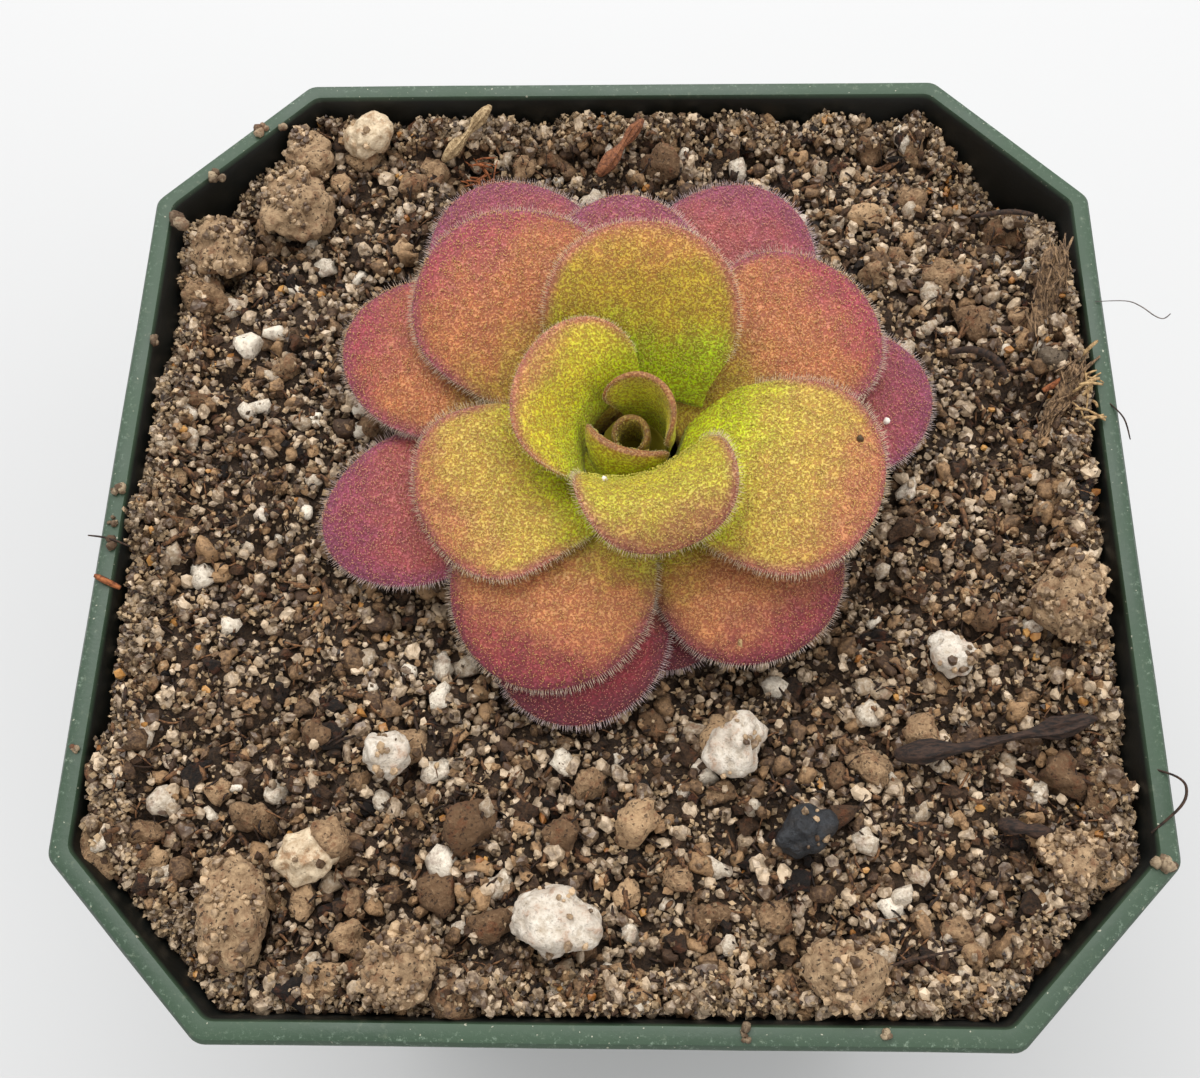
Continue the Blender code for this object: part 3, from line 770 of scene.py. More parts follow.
def strand_mesh(name, strands, material):
    """One piece of many thin tapering strands. Each strand is (points, thickest radius)."""
    verts = []
    faces = []
    for points, radius in strands:
        start = len(verts)
        for index, point in enumerate(points):
            before = points[max(index - 1, 0)]
            after = points[min(index + 1, len(points) - 1)]
            along = (after - before).normalized()
            side = along.cross(Vector((0.1, 0.2, 1.0))).normalized()
            up = side.cross(along)
            share = index / (len(points) - 1)
            own = radius * (0.35 + 0.65 * math.sin(math.pi * (0.15 + 0.7 * share)))
            for step in range(strand_sides):
                angle = 2 * math.pi * step / strand_sides
                verts.append(point + side * (math.cos(angle) * own) + up * (math.sin(angle) * own))
        for index in range(len(points) - 1):
            low = start + index * strand_sides
            for step in range(strand_sides):
                after = (step + 1) % strand_sides
                faces.append((low + step, low + after, low + strand_sides + after, low + strand_sides + step))
        last = len(verts) - strand_sides
        faces.append(tuple(range(start + strand_sides - 1, start - 1, -1)))
        faces.append(tuple(range(last, last + strand_sides)))
    return add_piece(name, verts, faces, material)


def heap_height(x, y):
    return heap[tuple(cell_of(x, y))]


def wandering(draw, x, y, heading, length, bend, steps=4):
    """Points of a fibre that wanders over the grit and follows its heights."""
    points = []
    for step in range(steps):
        rise = 0.3 * math.sin(math.pi * step / (steps - 1)) - 0.15
        points.append(Vector((x, y, heap_height(x, y) + rise * MM)))
        heading += draw.uniform(-bend, bend)
        x += math.cos(heading) * length / steps
        y += math.sin(heading) * length / steps
    for index in range(1, steps - 1):
        points[index].z = (points[index - 1].z + points[index].z + points[index + 1].z) / 3
    return points


def build_peat_fibres():
    draw = np.random.default_rng(21)
    for name, count, low, high, least, most, furrow, ridge in (
        ("dark_peat_fibres", 1500, 0.5, 2.4, 0.04, 0.13, (18, 12, 9), (66, 46, 32)),
        ("brown_peat_fibres", 800, 0.5, 2.6, 0.03, 0.11, (58, 36, 22), (138, 98, 64)),
        ("bark_slivers", 460, 0.8, 2.6, 0.12, 0.26, (46, 30, 20), (124, 88, 58)),
    ):
        strands = []
        while len(strands) < count:
            x, y = draw.uniform(-fibre_reach, fibre_reach, 2)
            length = draw.uniform(low, high) * MM
            radius = draw.uniform(least, most) * MM
            if not in_pot(x, y, length * 0.8, rim_top - 3.0 * MM):
                continue
            if from_crown(x, y) < fibre_clear + length:
                continue
            points = wandering(draw, x, y, draw.uniform(0, 6.28), length, 0.35)
            strands.append((points, radius))
        material = fibre_material(name, furrow, ridge, (3.0, 3.0, 3.0))
        finish_piece(strand_mesh(name, strands, material), "twig_bark")


build_peat_fibres()

# Two twigs, two straws and two flakes of bark lie on the grit. The bark leans on the right-hand rim, and
# fibres have come loose all over it.
TWIG_FINISHES = {
    "twig_long": ((24, 17, 14), (64, 46, 36), (1.2, 5.0, 5.0)),
    "twig_short": ((24, 17, 14), (70, 50, 38), (1.2, 5.0, 5.0)),
    "straw_pale": ((120, 96, 66), (190, 164, 124), (4.0, 4.0, 4.0)),
    "straw_red": ((84, 48, 30), (142, 90, 58), (4.0, 4.0, 4.0)),
}


# Which way each flake's grain runs, in degrees, and how many loose fibres stand off it
BARK_GRAIN = {"bark_strip": 80, "bark_flake": 60}
LOOSE_FIBRES = 42
stick_pitch = 900.0
bark_pitch = 520.0


def build_wood():
    for name, (furrow, ridge, stretch) in TWIG_FINISHES.items():
        material = fibre_material(name + "_wood", furrow, ridge, stretch)
        piece = worn_copy(name + "_stick", name, 4, 0.1 * MM, 0.05 * MM, stick_pitch, material)
        finish_piece(piece, "twig_bark", name)
    bark = fibre_material("bark_fibre", (58, 42, 30), (164, 132, 98), (4.0, 1.4, 4.0), 0.25)
    draw = np.random.default_rng(30)
    loose = []
    for name, grain in BARK_GRAIN.items():
        piece = worn_copy(name + "_slab", name, 4, 0.5 * MM, 0.22 * MM, bark_pitch, bark)
        finish_piece(piece, "bark", name)
        verts = [vert.co.copy() for vert in piece.data.vertices if vert.normal.z > 0.2]
        for _ in range(LOOSE_FIBRES):
            point = verts[draw.integers(0, len(verts))]
            heading = math.radians(grain) + draw.normal(0, 0.3)
            length = draw.uniform(1.2, 3.4) * MM
            points = []
            for step in range(6):
                share = step / 5 - 0.5
                lift = (0.1 + 0.5 * draw.uniform(0, 1) * abs(share)) * MM
                away = Vector((math.cos(heading), math.sin(heading), 0.0)) * share * length
                points.append(point + away + Vector((0, 0, lift)))
            loose.append((points, draw.uniform(0.05, 0.13) * MM))
    finish_piece(strand_mesh("bark_fibres", loose, bark), "bark")


build_wood()

# Small loose bits show here and there: crumbs spilled on the rim, splinters of bark, a grey pebble, clumps of
# brown fibre, and a few dark hairs of root that stand out over the pot's edge.
# Crumbs on the rim, as place and size in millimetres
RIM_CRUMBS = [
    (-35.7, 24.1, 1.1), (-29.9, 33.2, 0.8), (-33.3, 28.2, 0.9), (-28.2, 33.3, 0.6), (-36.8, 0.5, 0.8),
    (-37.0, -2.1, 0.6), (-36.9, -4.0, 0.7), (-36.2, 13.1, 0.6), (36.5, -26.2, 0.9), (8.8, -37.0, 0.8),
    (17.6, -37.1, 0.6), (-37.1, -19.0, 0.5),
]
# Each splinter: the colour's name, thickest radius, and its points as x, y and height from the rim's top
SPLINTERS = [
    ("dark", 0.3, [(28.6, 25.0, -1.0), (31.5, 25.2, -0.6), (33.6, 25.1, -0.9)]),
    ("dark", 0.42, [(26.0, 12.8, -1.4), (27.6, 12.5, -0.5), (29.2, 11.6, -0.4), (30.1, 10.4, -1.1)]),
    ("rust", 0.3, [(32.7, 9.2, -1.0), (34.0, 9.8, -0.5), (35.3, 10.6, -0.4)]),
    ("rust", 0.25, [(-37.6, -6.4, 0.3), (-36.8, -6.8, 0.3), (-35.8, -7.2, -0.2)]),
    ("tan", 0.26, [(9.0, -12.5, -1.0), (9.1, -11.8, -0.3), (9.0, -11.2, 0.6)]),
    ("tan", 0.35, [(-1.2, -12.6, -1.8), (0.9, -12.0, -1.3), (2.2, -11.4, -1.2)]),
    ("dark", 0.09, [(-35.4, -4.1, 0.1), (-37.0, -3.6, 0.5), (-38.6, -3.3, 0.3)]),
    ("dark", 0.08, [(37.2, 7.8, -0.1), (38.0, 6.2, 0.4), (38.5, 4.7, -0.2)]),
    ("dark", 0.11, [(15.2, -34.0, -0.9), (19.0, -32.6, -0.5), (23.1, -31.7, -0.9)]),
    ("dark", 0.11, [
        (36.2, -24.2, -0.3), (38.0, -22.6, 0.7), (38.5, -21.4, 0.8), (38.1, -20.6, 0.5), (36.8, -19.9, -0.2),
    ]),
    ("grey", 0.06, [
        (37.2, 16.4, 0.1), (39.4, 16.2, 0.5), (40.4, 15.6, 0.7), (41.3, 14.7, 0.8), (41.9, 14.4, 0.9),
        (42.4, 14.7, 1.1),
    ]),
]
SPLINTER_FINISHES = {
    "dark": ((26, 18, 14), (70, 50, 36)),
    "rust": ((92, 50, 26), (168, 100, 58)),
    "tan": ((120, 92, 58), (190, 158, 112)),
    "grey": ((70, 64, 62), (120, 110, 104)),
}
# Clumps of fibre, as place, spread, how many strands, colour
FIBRE_CLUMPS = [(36.2, 9.9, 1.9, 34, "tan"), (36.4, 6.5, 1.7, 30, "tan"), (-11.7, 30.8, 2.0, 34, "rust")]


def smooth_route(points, pieces=5):
    """A smooth curve through a few points."""
    route = []
    for index in range(len(points) - 1):
        before = points[max(index - 1, 0)]
        start, end = points[index], points[index + 1]
        after = points[min(index + 2, len(points) - 1)]
        for step in range(pieces):
            u = step / pieces
            route.append(
                0.5 * (2 * start + (end - before) * u + (2 * before - 5 * start + 4 * end - after) * u**2
                       + (3 * start - before - 3 * end + after) * u**3)
            )
    route.append(points[-1])
    return route


def build_small_bits():
    draw = np.random.default_rng(52)
    grains = []
    for x, y, radius in RIM_CRUMBS:
        for _ in range(6):
            near = draw.normal(0, 0.28 * radius, 2)
            size = radius * draw.uniform(0.2, 0.6) * MM
            spot = ((x + near[0]) * MM, (y + near[1]) * MM, rim_top + 0.55 * size)
            grains.append((*spot, size, size * 0.8, size * 0.9))
    shapes, faces = grain_shapes(2, 0.36, 8, 71.0)
    crumb = mineral("rim_crumb_stone", (84, 64, 46), (168, 148, 120), rust_stain, 0.5, 0.8, 2.4, 0.2, 0.3)
    finish_piece(grain_mesh("rim_crumbs", grains, shapes, faces, crumb, draw, True), "soil_grit")
    pebble_shapes, pebble_faces = grain_shapes(3, 0.26, 1, 77.0)
    pebble = mineral("grey_pebble", (96, 82, 66), (176, 162, 142), dark_stain, 0.6, 0.8, 2.6, 0.3, 0.5)
    spot = (33.6 * MM, 11.9 * MM, rim_top - 0.7 * MM, 1.15 * MM, 0.95 * MM, 0.85 * MM)
    piece = grain_mesh("grey_pebble", [spot], pebble_shapes, pebble_faces, pebble, draw, True)
    finish_piece(piece, "soil_grit")
    for kind, (furrow, ridge) in SPLINTER_FINISHES.items():
        strands = []
        for colour, radius, points in SPLINTERS:
            if colour == kind:
                places = [Vector((x * MM, y * MM, rim_top + z * MM)) for x, y, z in points]
                strands.append((smooth_route(places), radius * MM))
        for x, y, reach, count, colour in FIBRE_CLUMPS:
            if colour != kind:
                continue
            for _ in range(count):
                middle = Vector((x, y, 0.0)) + Vector((*draw.normal(0, 0.4 * reach, 2), 0.0))
                heading = draw.uniform(0, 2 * math.pi)
                half = Vector((math.cos(heading), math.sin(heading), 0.0))
                half = half * draw.uniform(0.4, 1.0) * reach * 0.6
                ground = heap_height(middle.x * MM, middle.y * MM) / MM
                rise = draw.uniform(0.1, 0.9)
                ends = [middle - half, middle + half * 0.2, middle + half]
                for place, lift in zip(ends, (0.1, rise, rise * draw.uniform(0.2, 1.2))):
                    place.z = ground + lift
                route = [place * MM for place in smooth_route(ends, 3)]
                strands.append((route, draw.uniform(0.06, 0.16) * MM))
        material = fibre_material(kind + "_fibre", furrow, ridge, (3.0, 3.0, 3.0))
        finish_piece(strand_mesh(kind + "_splinters", strands, material), "twig_bark")


build_small_bits()

# The crown is the short stem in the middle, hidden by the leaf bases. It is dull olive living tissue.
crown_skin, crown_tree, crown_shader = bare_material("crown_skin", 0.9)
crown_shader.inputs["Specular IOR Level"].default_value = 0.1
crown_tone = mix_colours(
    crown_tree, noise_of(crown_tree, millimetres(crown_tree), 1.5), tone(96, 88, 28), tone(132, 120, 44)
)
feed(crown_tree, crown_shader.inputs["Base Color"], crown_tone)
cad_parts["crown"].data.materials.clear()
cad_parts["crown"].data.materials.append(crown_skin)

# The leaves are thick and soft, each one piece of flesh with a waxy skin, and grow in a spiral from the
# crown. The oldest lie out over the soil, the middle ones arch over them, and the youngest curl as a bud.
BUD_SHIFT = -0.9 * MM
OLD_LEAVES = 7
MIDDLE_LEAVES = 5
BUD_LEAVES = 5
TIP_WIDTH = 0.25
BLADE_SWELL = 2.1
LEAST_CURL = 1e-4
# The bases press against each other in the flesh, so they are wider than the frame's narrow necks. Where a
# base shows from above it is wider still: leaf number and share of the blade's width.
FLESH_NECK = 0.58
WIDE_NECKS = {8: 0.7, 10: 0.62, 13: 0.72, 14: 0.8, 15: 0.7, 17: 0.85}
# Each leaf as in the frame, from the oldest: heading, length, width, pitch at the base, pitch at the tip,
# how late it bends, curl at the base, curl at the tip, base height, base distance, neck, thickness, margin
# thickness, widest place. Degrees and millimetres. In the 8th row and the 10th to 17th a search program
# fitted values to the leaf's outline in the photograph, and some were rounded or changed afterwards.
LEAVES = [
    (281, 13.0, 10.0, 44, -10, 0.5, 20, -35, -4.7, 4.2, 0.22, 1.3, 0.32, 0.63),
    (66, 22.4, 14.5, 44, -10, 0.5, 20, -30, -4.4, 4.1, 0.20, 1.3, 0.32, 0.63),
    (255, 18.2, 13.0, 49, -14, 0.5, 20, -35, -3.6, 4.0, 0.20, 1.3, 0.32, 0.63),
    (120, 23.7, 14.5, 46, -11, 0.5, 20, -30, -3.9, 3.9, 0.20, 1.3, 0.32, 0.63),
    (15, 20.2, 13.5, 46, -14, 0.5, 20, -30, -3.4, 3.8, 0.20, 1.3, 0.32, 0.63),
    (197, 20.9, 12.5, 47, -16, 0.5, 20, -30, -3.0, 3.7, 0.20, 1.3, 0.32, 0.63),
    (93, 18.3, 12.5, 51, -6, 0.5, 20, -25, -2.4, 3.6, 0.20, 1.3, 0.32, 0.63),
    (310, 16.8, 14.3, 50, -15, 0.5, 20, -50, -2.2, 3.5, 0.30, 1.3, 0.32, 0.64),
    (155, 21.3, 14.0, 50, -14, 0.5, 20, -35, -1.8, 3.5, 0.20, 1.3, 0.32, 0.63),
    (35, 18.4, 14.6, 53, -10, 0.5, 20, -15, -1.4, 3.4, 0.22, 1.3, 0.32, 0.68),
    (244, 17.6, 14.8, 55, -20, 0.5, 20, -30, -1.4, 3.4, 0.24, 1.3, 0.32, 0.58),
    (131, 19.0, 16.4, 58, -7, 0.6, 20, -50, -0.7, 3.3, 0.16, 1.3, 0.32, 0.62),
    (340, 16.2, 15.5, 58, -9, 0.6, 20, -10, -0.5, 3.5, 0.18, 1.3, 0.32, 0.62),
    (208, 14.0, 13.8, 61, -14, 0.6, 20, 10, -0.4, 3.6, 0.14, 1.3, 0.32, 0.66),
    (85, 12.9, 14.6, 66, 14, 1.0, 75, 25, 1.0, 3.8, 0.26, 1.1, 0.36, 0.47),
    (287, 12.0, 11.6, 100, -50, 1.6, 140, 10, 0.9, 4.3, 0.36, 1.0, 0.4, 0.58),
    (156, 8.4, 12.8, 84, 30, 0.85, 125, 10, 1.7, 3.6, 0.40, 0.9, 0.4, 0.45),
    (249, 5.0, 7.6, 92, 106, 1.0, 136, 117, 1.0, 3.1, 0.60, 0.75, 0.8, 0.78),
    (52, 7.0, 8.6, 84, 92, 1.0, 183, 163, 0.6, 2.65, 0.45, 0.6, 0.8, 0.70),
    (70, 4.4, 5.9, 90, 100, 1.0, 300, 280, 0.6, 1.1, 0.80, 0.5, 0.8, 0.80),
]
# A leaf reddens with age and light. Each stage: near the crown, over the blade, towards the tip, the margin
SKIN_STAGES = {
    "wine": ((140, 110, 40), (144, 44, 52), (114, 26, 42), (106, 32, 50)),
    "rose": ((176, 146, 55), (174, 88, 82), (150, 68, 90), (148, 74, 102)),
    "coral": ((186, 164, 48), (192, 122, 72), (166, 72, 80), (156, 74, 92)),
    "ember": ((188, 196, 34), (206, 140, 86), (154, 66, 70), (130, 50, 68)),
    "gold": ((206, 222, 18), (204, 176, 70), (194, 130, 84), (172, 96, 92)),
    "olive": ((180, 206, 18), (188, 162, 38), (200, 146, 66), (176, 100, 84)),
    "curl": ((196, 214, 24), (194, 186, 46), (186, 138, 82), (176, 110, 90)),
    "lime": ((200, 218, 22), (216, 206, 46), (204, 154, 84), (186, 116, 90)),
    "bud": ((218, 236, 20), (230, 236, 40), (212, 198, 64), (158, 104, 64)),
    "heart": ((140, 126, 26), (164, 148, 38), (170, 148, 52), (140, 110, 46)),
}
LEAF_STAGES = (
    ["wine", "rose", "wine", "rose", "rose", "rose", "rose"]
    + ["ember", "coral", "coral", "ember", "coral"]
    + ["gold", "gold", "olive", "curl", "lime", "bud", "bud", "heart"]
)


def leaf_flesh_group():
    """Leaf skin: three colours laid along the blade, one for the margin, mottling and pale gland hairs."""
    group, given, made = new_group(
        "leaf_flesh",
        {
            "Base Colour": (0.3, 0.3, 0.05, 1.0),
            "Blade Colour": (0.4, 0.3, 0.1, 1.0),
            "Tip Colour": (0.4, 0.15, 0.1, 1.0),
            "Margin Colour": (0.4, 0.2, 0.2, 1.0),
            "Fringe Colour": (0.8, 0.7, 0.7, 1.0),
            "Gland Colour": (0.8, 0.6, 0.3, 1.0),
            "Gland Share": 0.5,
            "Margin Reach": 1.7,
        },
        ("Color", "Roughness", "Height"),
    )
    place = millimetres(group)
    along, edge, hair = [mark_of(group, name) for name in ("along", "edge", "hair")]
    drift = math_of(group, "MULTIPLY_ADD", noise_of(group, place, 0.4, 4.0, 0.65), 0.42, along)
    skin = mix_colours(group, spread(group, drift, 0.46, 0.8), given["Base Colour"], given["Blade Colour"])
    skin = mix_colours(group, spread(group, drift, 0.86, 1.16), skin, given["Tip Colour"])
    inward = math_of(group, "DIVIDE", edge, given["Margin Reach"])
    rim = spread(group, inward, 0.05, 1.0, 0.9, 0.0)
    rim = math_of(group, "MULTIPLY", rim, spread(group, along, 0.2, 0.6))
    skin = mix_colours(group, rim, skin, given["Margin Colour"])
    blotch = spread(group, noise_of(group, place, 0.9, 3.0), 0.35, 0.7, 0.86, 1.1)
    shade = add_node(group, "ShaderNodeCombineColor", Red=blotch, Green=blotch, Blue=blotch)
    skin = mix_colours(group, 1.0, skin, shade.outputs[0], "MULTIPLY")
    nap = spread(group, noise_of(group, place, 5.4, 2.0, 0.6), 0.42, 0.6)
    deep = mix_colours(group, 1.0, skin, (0.58, 0.4, 0.42, 1.0), "MULTIPLY")
    gland = mix_colours(group, given["Gland Share"], skin, given["Gland Colour"])
    skin = mix_colours(group, nap, deep, skin)
    fringe = mix_colours(group, spread(group, edge, 0.0, 0.02), given["Fringe Colour"], gland)
    feed(group, made["Color"], mix_colours(group, hair, skin, fringe))
    feed(group, made["Roughness"], spread(group, nap, 0.0, 1.0, 0.62, 0.42))
    feed(group, made["Height"], nap)
    return group


leaf_flesh = leaf_flesh_group()


def leaf_skin(index):
    material, tree, shader = bare_material("leaf_skin_%02d" % (index + 1), 0.5)
    base, blade, tip, margin = [tone(*shade) for shade in SKIN_STAGES[LEAF_STAGES[index]]]
    age = index / (len(LEAVES) - 1)
    group = add_node(
        tree, "ShaderNodeGroup", node_tree=leaf_flesh,
        Base_Colour=base, Blade_Colour=blade, Tip_Colour=tip, Margin_Colour=margin,
        Fringe_Colour=tone(246, 216 + 10 * age, 212 - 50 * age),
        Gland_Colour=tone(240, 160 + 58 * age, 138 - 56 * age),
        Gland_Share=0.6, Margin_Reach=1.9 - 1.2 * age,
    )
    lay_on(tree, shader, group, 0.05)
    feed(tree, shader.inputs["Roughness"], group.outputs["Roughness"])
    shader.inputs["Subsurface Weight"].default_value = 0.2
    shader.inputs["Subsurface Radius"].default_value = (1.0, 0.6, 0.25)
    shader.inputs["Subsurface Scale"].default_value = 0.5 * MM
    shader.inputs["Sheen Weight"].default_value = 0.1
    shader.inputs["Sheen Roughness"].default_value = 0.4
    return material


class Leaf:
    """One leaf's shape: points and normals of its skin for places along and across the blade."""

    def __init__(self, index):
        (heading, length, width, pitch, tip_pitch, late, cup, tip_cup, height, distance, neck, thick,
         margin, widest) = LEAVES[index]
        self.index = index
        self.heading = math.radians(heading)
        self.length, self.width, self.thick = length * MM, width * MM, thick * MM
        self.pitch, self.tip_pitch, self.late = math.radians(pitch), math.radians(tip_pitch), late
        self.cup, self.tip_cup = math.radians(cup), math.radians(tip_cup)
        self.neck = max(neck, WIDE_NECKS.get(index + 1, FLESH_NECK))
        self.margin, self.widest = margin, widest
        young = index - (len(LEAVES) - len(YOUNG_FRINGE))
        self.fringe = YOUNG_FRINGE[young] if young >= 0 else 1.0
        self.reach = (1.0 - widest) / math.sqrt(1.0 - TIP_WIDTH**2)
        self.end = widest + self.reach
        self.outward = np.array([math.cos(self.heading), math.sin(self.heading), 0.0])
        self.sideways = np.array([-math.sin(self.heading), math.cos(self.heading), 0.0])
        shift = BUD_SHIFT if index >= len(LEAVES) - BUD_LEAVES else 0.0
        start = np.array([crown_x, crown_y + shift, rim_top + height * MM]) + self.outward * distance * MM
        self.stations = np.linspace(0.0, 1.02, 205)
        middle = (self.stations[1:] + self.stations[:-1]) / 2
        lean = self.lean(middle)
        steps = np.outer(np.cos(lean), self.outward) + np.outer(np.sin(lean), (0.0, 0.0, 1.0))
        steps *= np.diff(self.stations)[:, None] * self.length
        self.midrib = start + np.vstack([np.zeros(3), np.cumsum(steps, axis=0)])

    def lean(self, along):
        return self.pitch + (self.tip_pitch - self.pitch) * np.clip(along, 0.0, 1.0) ** self.late

    def half_width(self, along):
        rise = np.sin(math.pi / 2 * np.clip(along / self.widest, 0.0, 1.0)) ** BLADE_SWELL
        low = self.neck + (1.0 - self.neck) * rise
        high = np.sqrt(np.clip(1.0 - ((along - self.widest) / self.reach) ** 2, 0.0, 1.0))
        return self.width / 2 * np.where(along < self.widest, low, high)

    def half_thickness(self, along, across):
        m = self.margin
        over = np.interp(np.abs(across), [0, 0.45, 0.82, 1], [1, 0.93 + 0.07 * m, 0.59 + 0.41 * m, m])
        tip = 0.6 if m < 0.5 else 0.9
        length = np.interp(along, [0, 0.35, 0.8, 1], [0.6, 1, 1, tip])
        fold = np.sqrt(np.clip(1.0 - np.abs(across) ** 7, 0.0, 1.0))
        beyond = np.clip((along - self.widest) / self.reach, 0.0, 1.0)
        return self.thick / 2 * over * length * fold * np.sqrt(np.clip(1.0 - beyond**16, 0.0, 1.0))

    def skin(self, along, across, face):
        """Points and outward normals. Face is 1 for the upper skin, -1 for the lower and 0 for the middle."""
        along, across = np.broadcast_arrays(np.asarray(along, float), np.asarray(across, float))
        centre = np.stack([np.interp(along, self.stations, self.midrib[:, axis]) for axis in range(3)], -1)
        lean = self.lean(along)[..., None]
        forward = np.cos(lean) * self.outward + np.sin(lean) * np.array([0.0, 0.0, 1.0])
        upward = np.cross(forward, self.sideways)
        wide = self.half_width(along)
        bend = (self.cup + (self.tip_cup - self.cup) * np.clip(along, 0, 1)) * wide / self.width
        bend = np.where(np.abs(bend) < LEAST_CURL, LEAST_CURL, bend)
        shift = (wide * np.sin(bend * across) / bend)[..., None]
        lift = (wide * (1.0 - np.cos(bend * across)) / bend)[..., None]
        turn = (bend * across)[..., None]
        normal = upward * np.cos(turn) - self.sideways * np.sin(turn)
        phase = self.index * 2.4
        swell = 0.5 * np.sin(5.1 * along + 1.9 * across + phase)
        swell = swell + 0.5 * np.sin(3.3 * across - 4.2 * along - phase)
        swell = swell * np.sin(math.pi * np.clip(along, 0, 1)) * min(0.16 * MM, 0.012 * self.width)
        points = centre + self.sideways * shift + upward * lift + normal * swell[..., None]
        points = points + normal * (face * self.half_thickness(along, across))[..., None]
        return points, normal * (1 if face >= 0 else -1)

    def edge_distance(self, along, across):
        beyond = (along - self.widest) / self.reach
        tip = 1.0 - np.sqrt(np.clip(beyond, 0, 1) ** 2 + (across**2) * np.clip(1.0 - beyond**2, 0, 1))
        side = (1.0 - np.abs(across)) * self.half_width(along)
        return np.where(beyond > 0, tip * self.width / 2, side)


LEAF_BASE_ROWS = 18
LEAF_TIP_ROWS = 15
LEAF_COLUMNS = 24


def leaf_body(leaf):
    """The leaf's own closed skin, as verts, faces and marks."""
    base_rows = np.linspace(0.0, leaf.widest, LEAF_BASE_ROWS, endpoint=False)
    turns = np.linspace(0.0, math.pi / 2, LEAF_TIP_ROWS, endpoint=False)
    rows = np.concatenate([base_rows, leaf.widest + leaf.reach * np.sin(turns)])
    columns = -np.cos(np.linspace(0.0, math.pi, LEAF_COLUMNS + 1))
    along, across = np.meshgrid(rows, columns, indexing="ij")
    upper = leaf.skin(along, across, 1)[0]
    lower = leaf.skin(along, across, -1)[0][:, -2:0:-1]
    ring = np.concatenate([upper, lower], axis=1)
    count = ring.shape[1]
    edge = leaf.edge_distance(along, across) / MM
    edge = np.concatenate([edge, edge[:, -2:0:-1]], axis=1)
    verts = np.vstack([ring.reshape(-1, 3), leaf.skin(leaf.end, 0.0, 0)[0].reshape(1, 3)])
    marks = {
        "along": np.append(np.repeat(rows, count), leaf.end),
        "edge": np.append(edge.ravel(), 0.0),
    }
    marks["hair"] = np.zeros(len(verts))
    faces = []
    for row in range(len(rows) - 1):
        for step in range(count):
            low, after = row * count, (step + 1) % count
            faces.append((low + step, low + count + step, low + count + after, low + after))
    last = (len(rows) - 1) * count
    faces += [(last + step, len(verts) - 1, last + (step + 1) % count) for step in range(count)]
    faces.append(tuple(range(count)))
    return verts, faces, marks


# Every leaf is covered with short stalked glands, and has a fringe of longer hairs round its margin.
# They trap small insects, and their pale stalks give the plant its velvet look.
FRINGE_PITCH = 0.17 * MM
FRINGE_RADIUS = 0.022 * MM
# The rows of the fringe: height on the margin as a share of its thickness, and tilt in degrees
FRINGE_ROWS = ((0.5, 26.0), (-0.2, -4.0))
# The rings of a fringe hair: share of its length, and thickness as a share of its radius
FRINGE_RINGS = ((0.0, 1.0), (0.55, 0.75))
GLANDS_PER_SQUARE_MM = 18.5
# How long the fringe is on the six youngest leaves, down to the innermost, against a grown one's
YOUNG_FRINGE = [0.75, 0.9, 0.5, 0.2, 0.15, 0.12]


def units(rows):
    return rows / np.linalg.norm(rows, axis=1)[:, None]


def three_sides(along):
    """Three directions round each hair, square to it and evenly apart."""
    side = units(np.cross(along, np.array([0.31, 0.52, 0.79])))
    other = np.cross(units(along), side)
    angles = [2 * math.pi * step / 3 for step in range(3)]
    return [side * math.cos(angle) + other * math.sin(angle) for angle in angles]


def hair_cones(roots, tips, radius, curl, rings):
    """Thin curved hairs as verts, faces and the share of each hair's length. Rings are (share, thickness)."""
    along = tips - roots
    points = []
    for share, thick in rings:
        middle = roots + along * share + curl * math.sin(math.pi * share)
        points += [middle + aside * radius * thick for aside in three_sides(along)]
    points.append(tips)
    verts = np.stack(points, axis=1).reshape(-1, 3)
    pattern = []
    for ring in range(len(rings) - 1):
        for step in range(3):
            low, after = ring * 3 + step, ring * 3 + (step + 1) % 3
            pattern += [(low, after, after + 3), (low, after + 3, low + 3)]
    last = (len(rings) - 1) * 3
    pattern += [(last + step, last + (step + 1) % 3, last + 3) for step in range(3)]
    size = 3 * len(rings) + 1
    faces = (np.array(pattern)[None] + (np.arange(len(roots)) * size)[:, None, None]).reshape(-1, 3)
    shares = [share for share, thick in rings for step in range(3)] + [1.0]
    return verts, faces, np.tile(shares, len(roots))


def gland_heads(roots, tips, radius):
    """Short stalks that widen to a flat sticky head, as verts, faces and the share of each one's length."""
    points = [roots] + [tips + aside * radius for aside in three_sides(tips - roots)]
    verts = np.stack(points, axis=1).reshape(-1, 3)
    pattern = np.array([(0, 2, 1), (0, 3, 2), (0, 1, 3), (1, 2, 3)])
    faces = (pattern[None] + (np.arange(len(roots)) * 4)[:, None, None]).reshape(-1, 3)
    return verts, faces, np.tile([0.0, 1.0, 1.0, 1.0], len(roots))


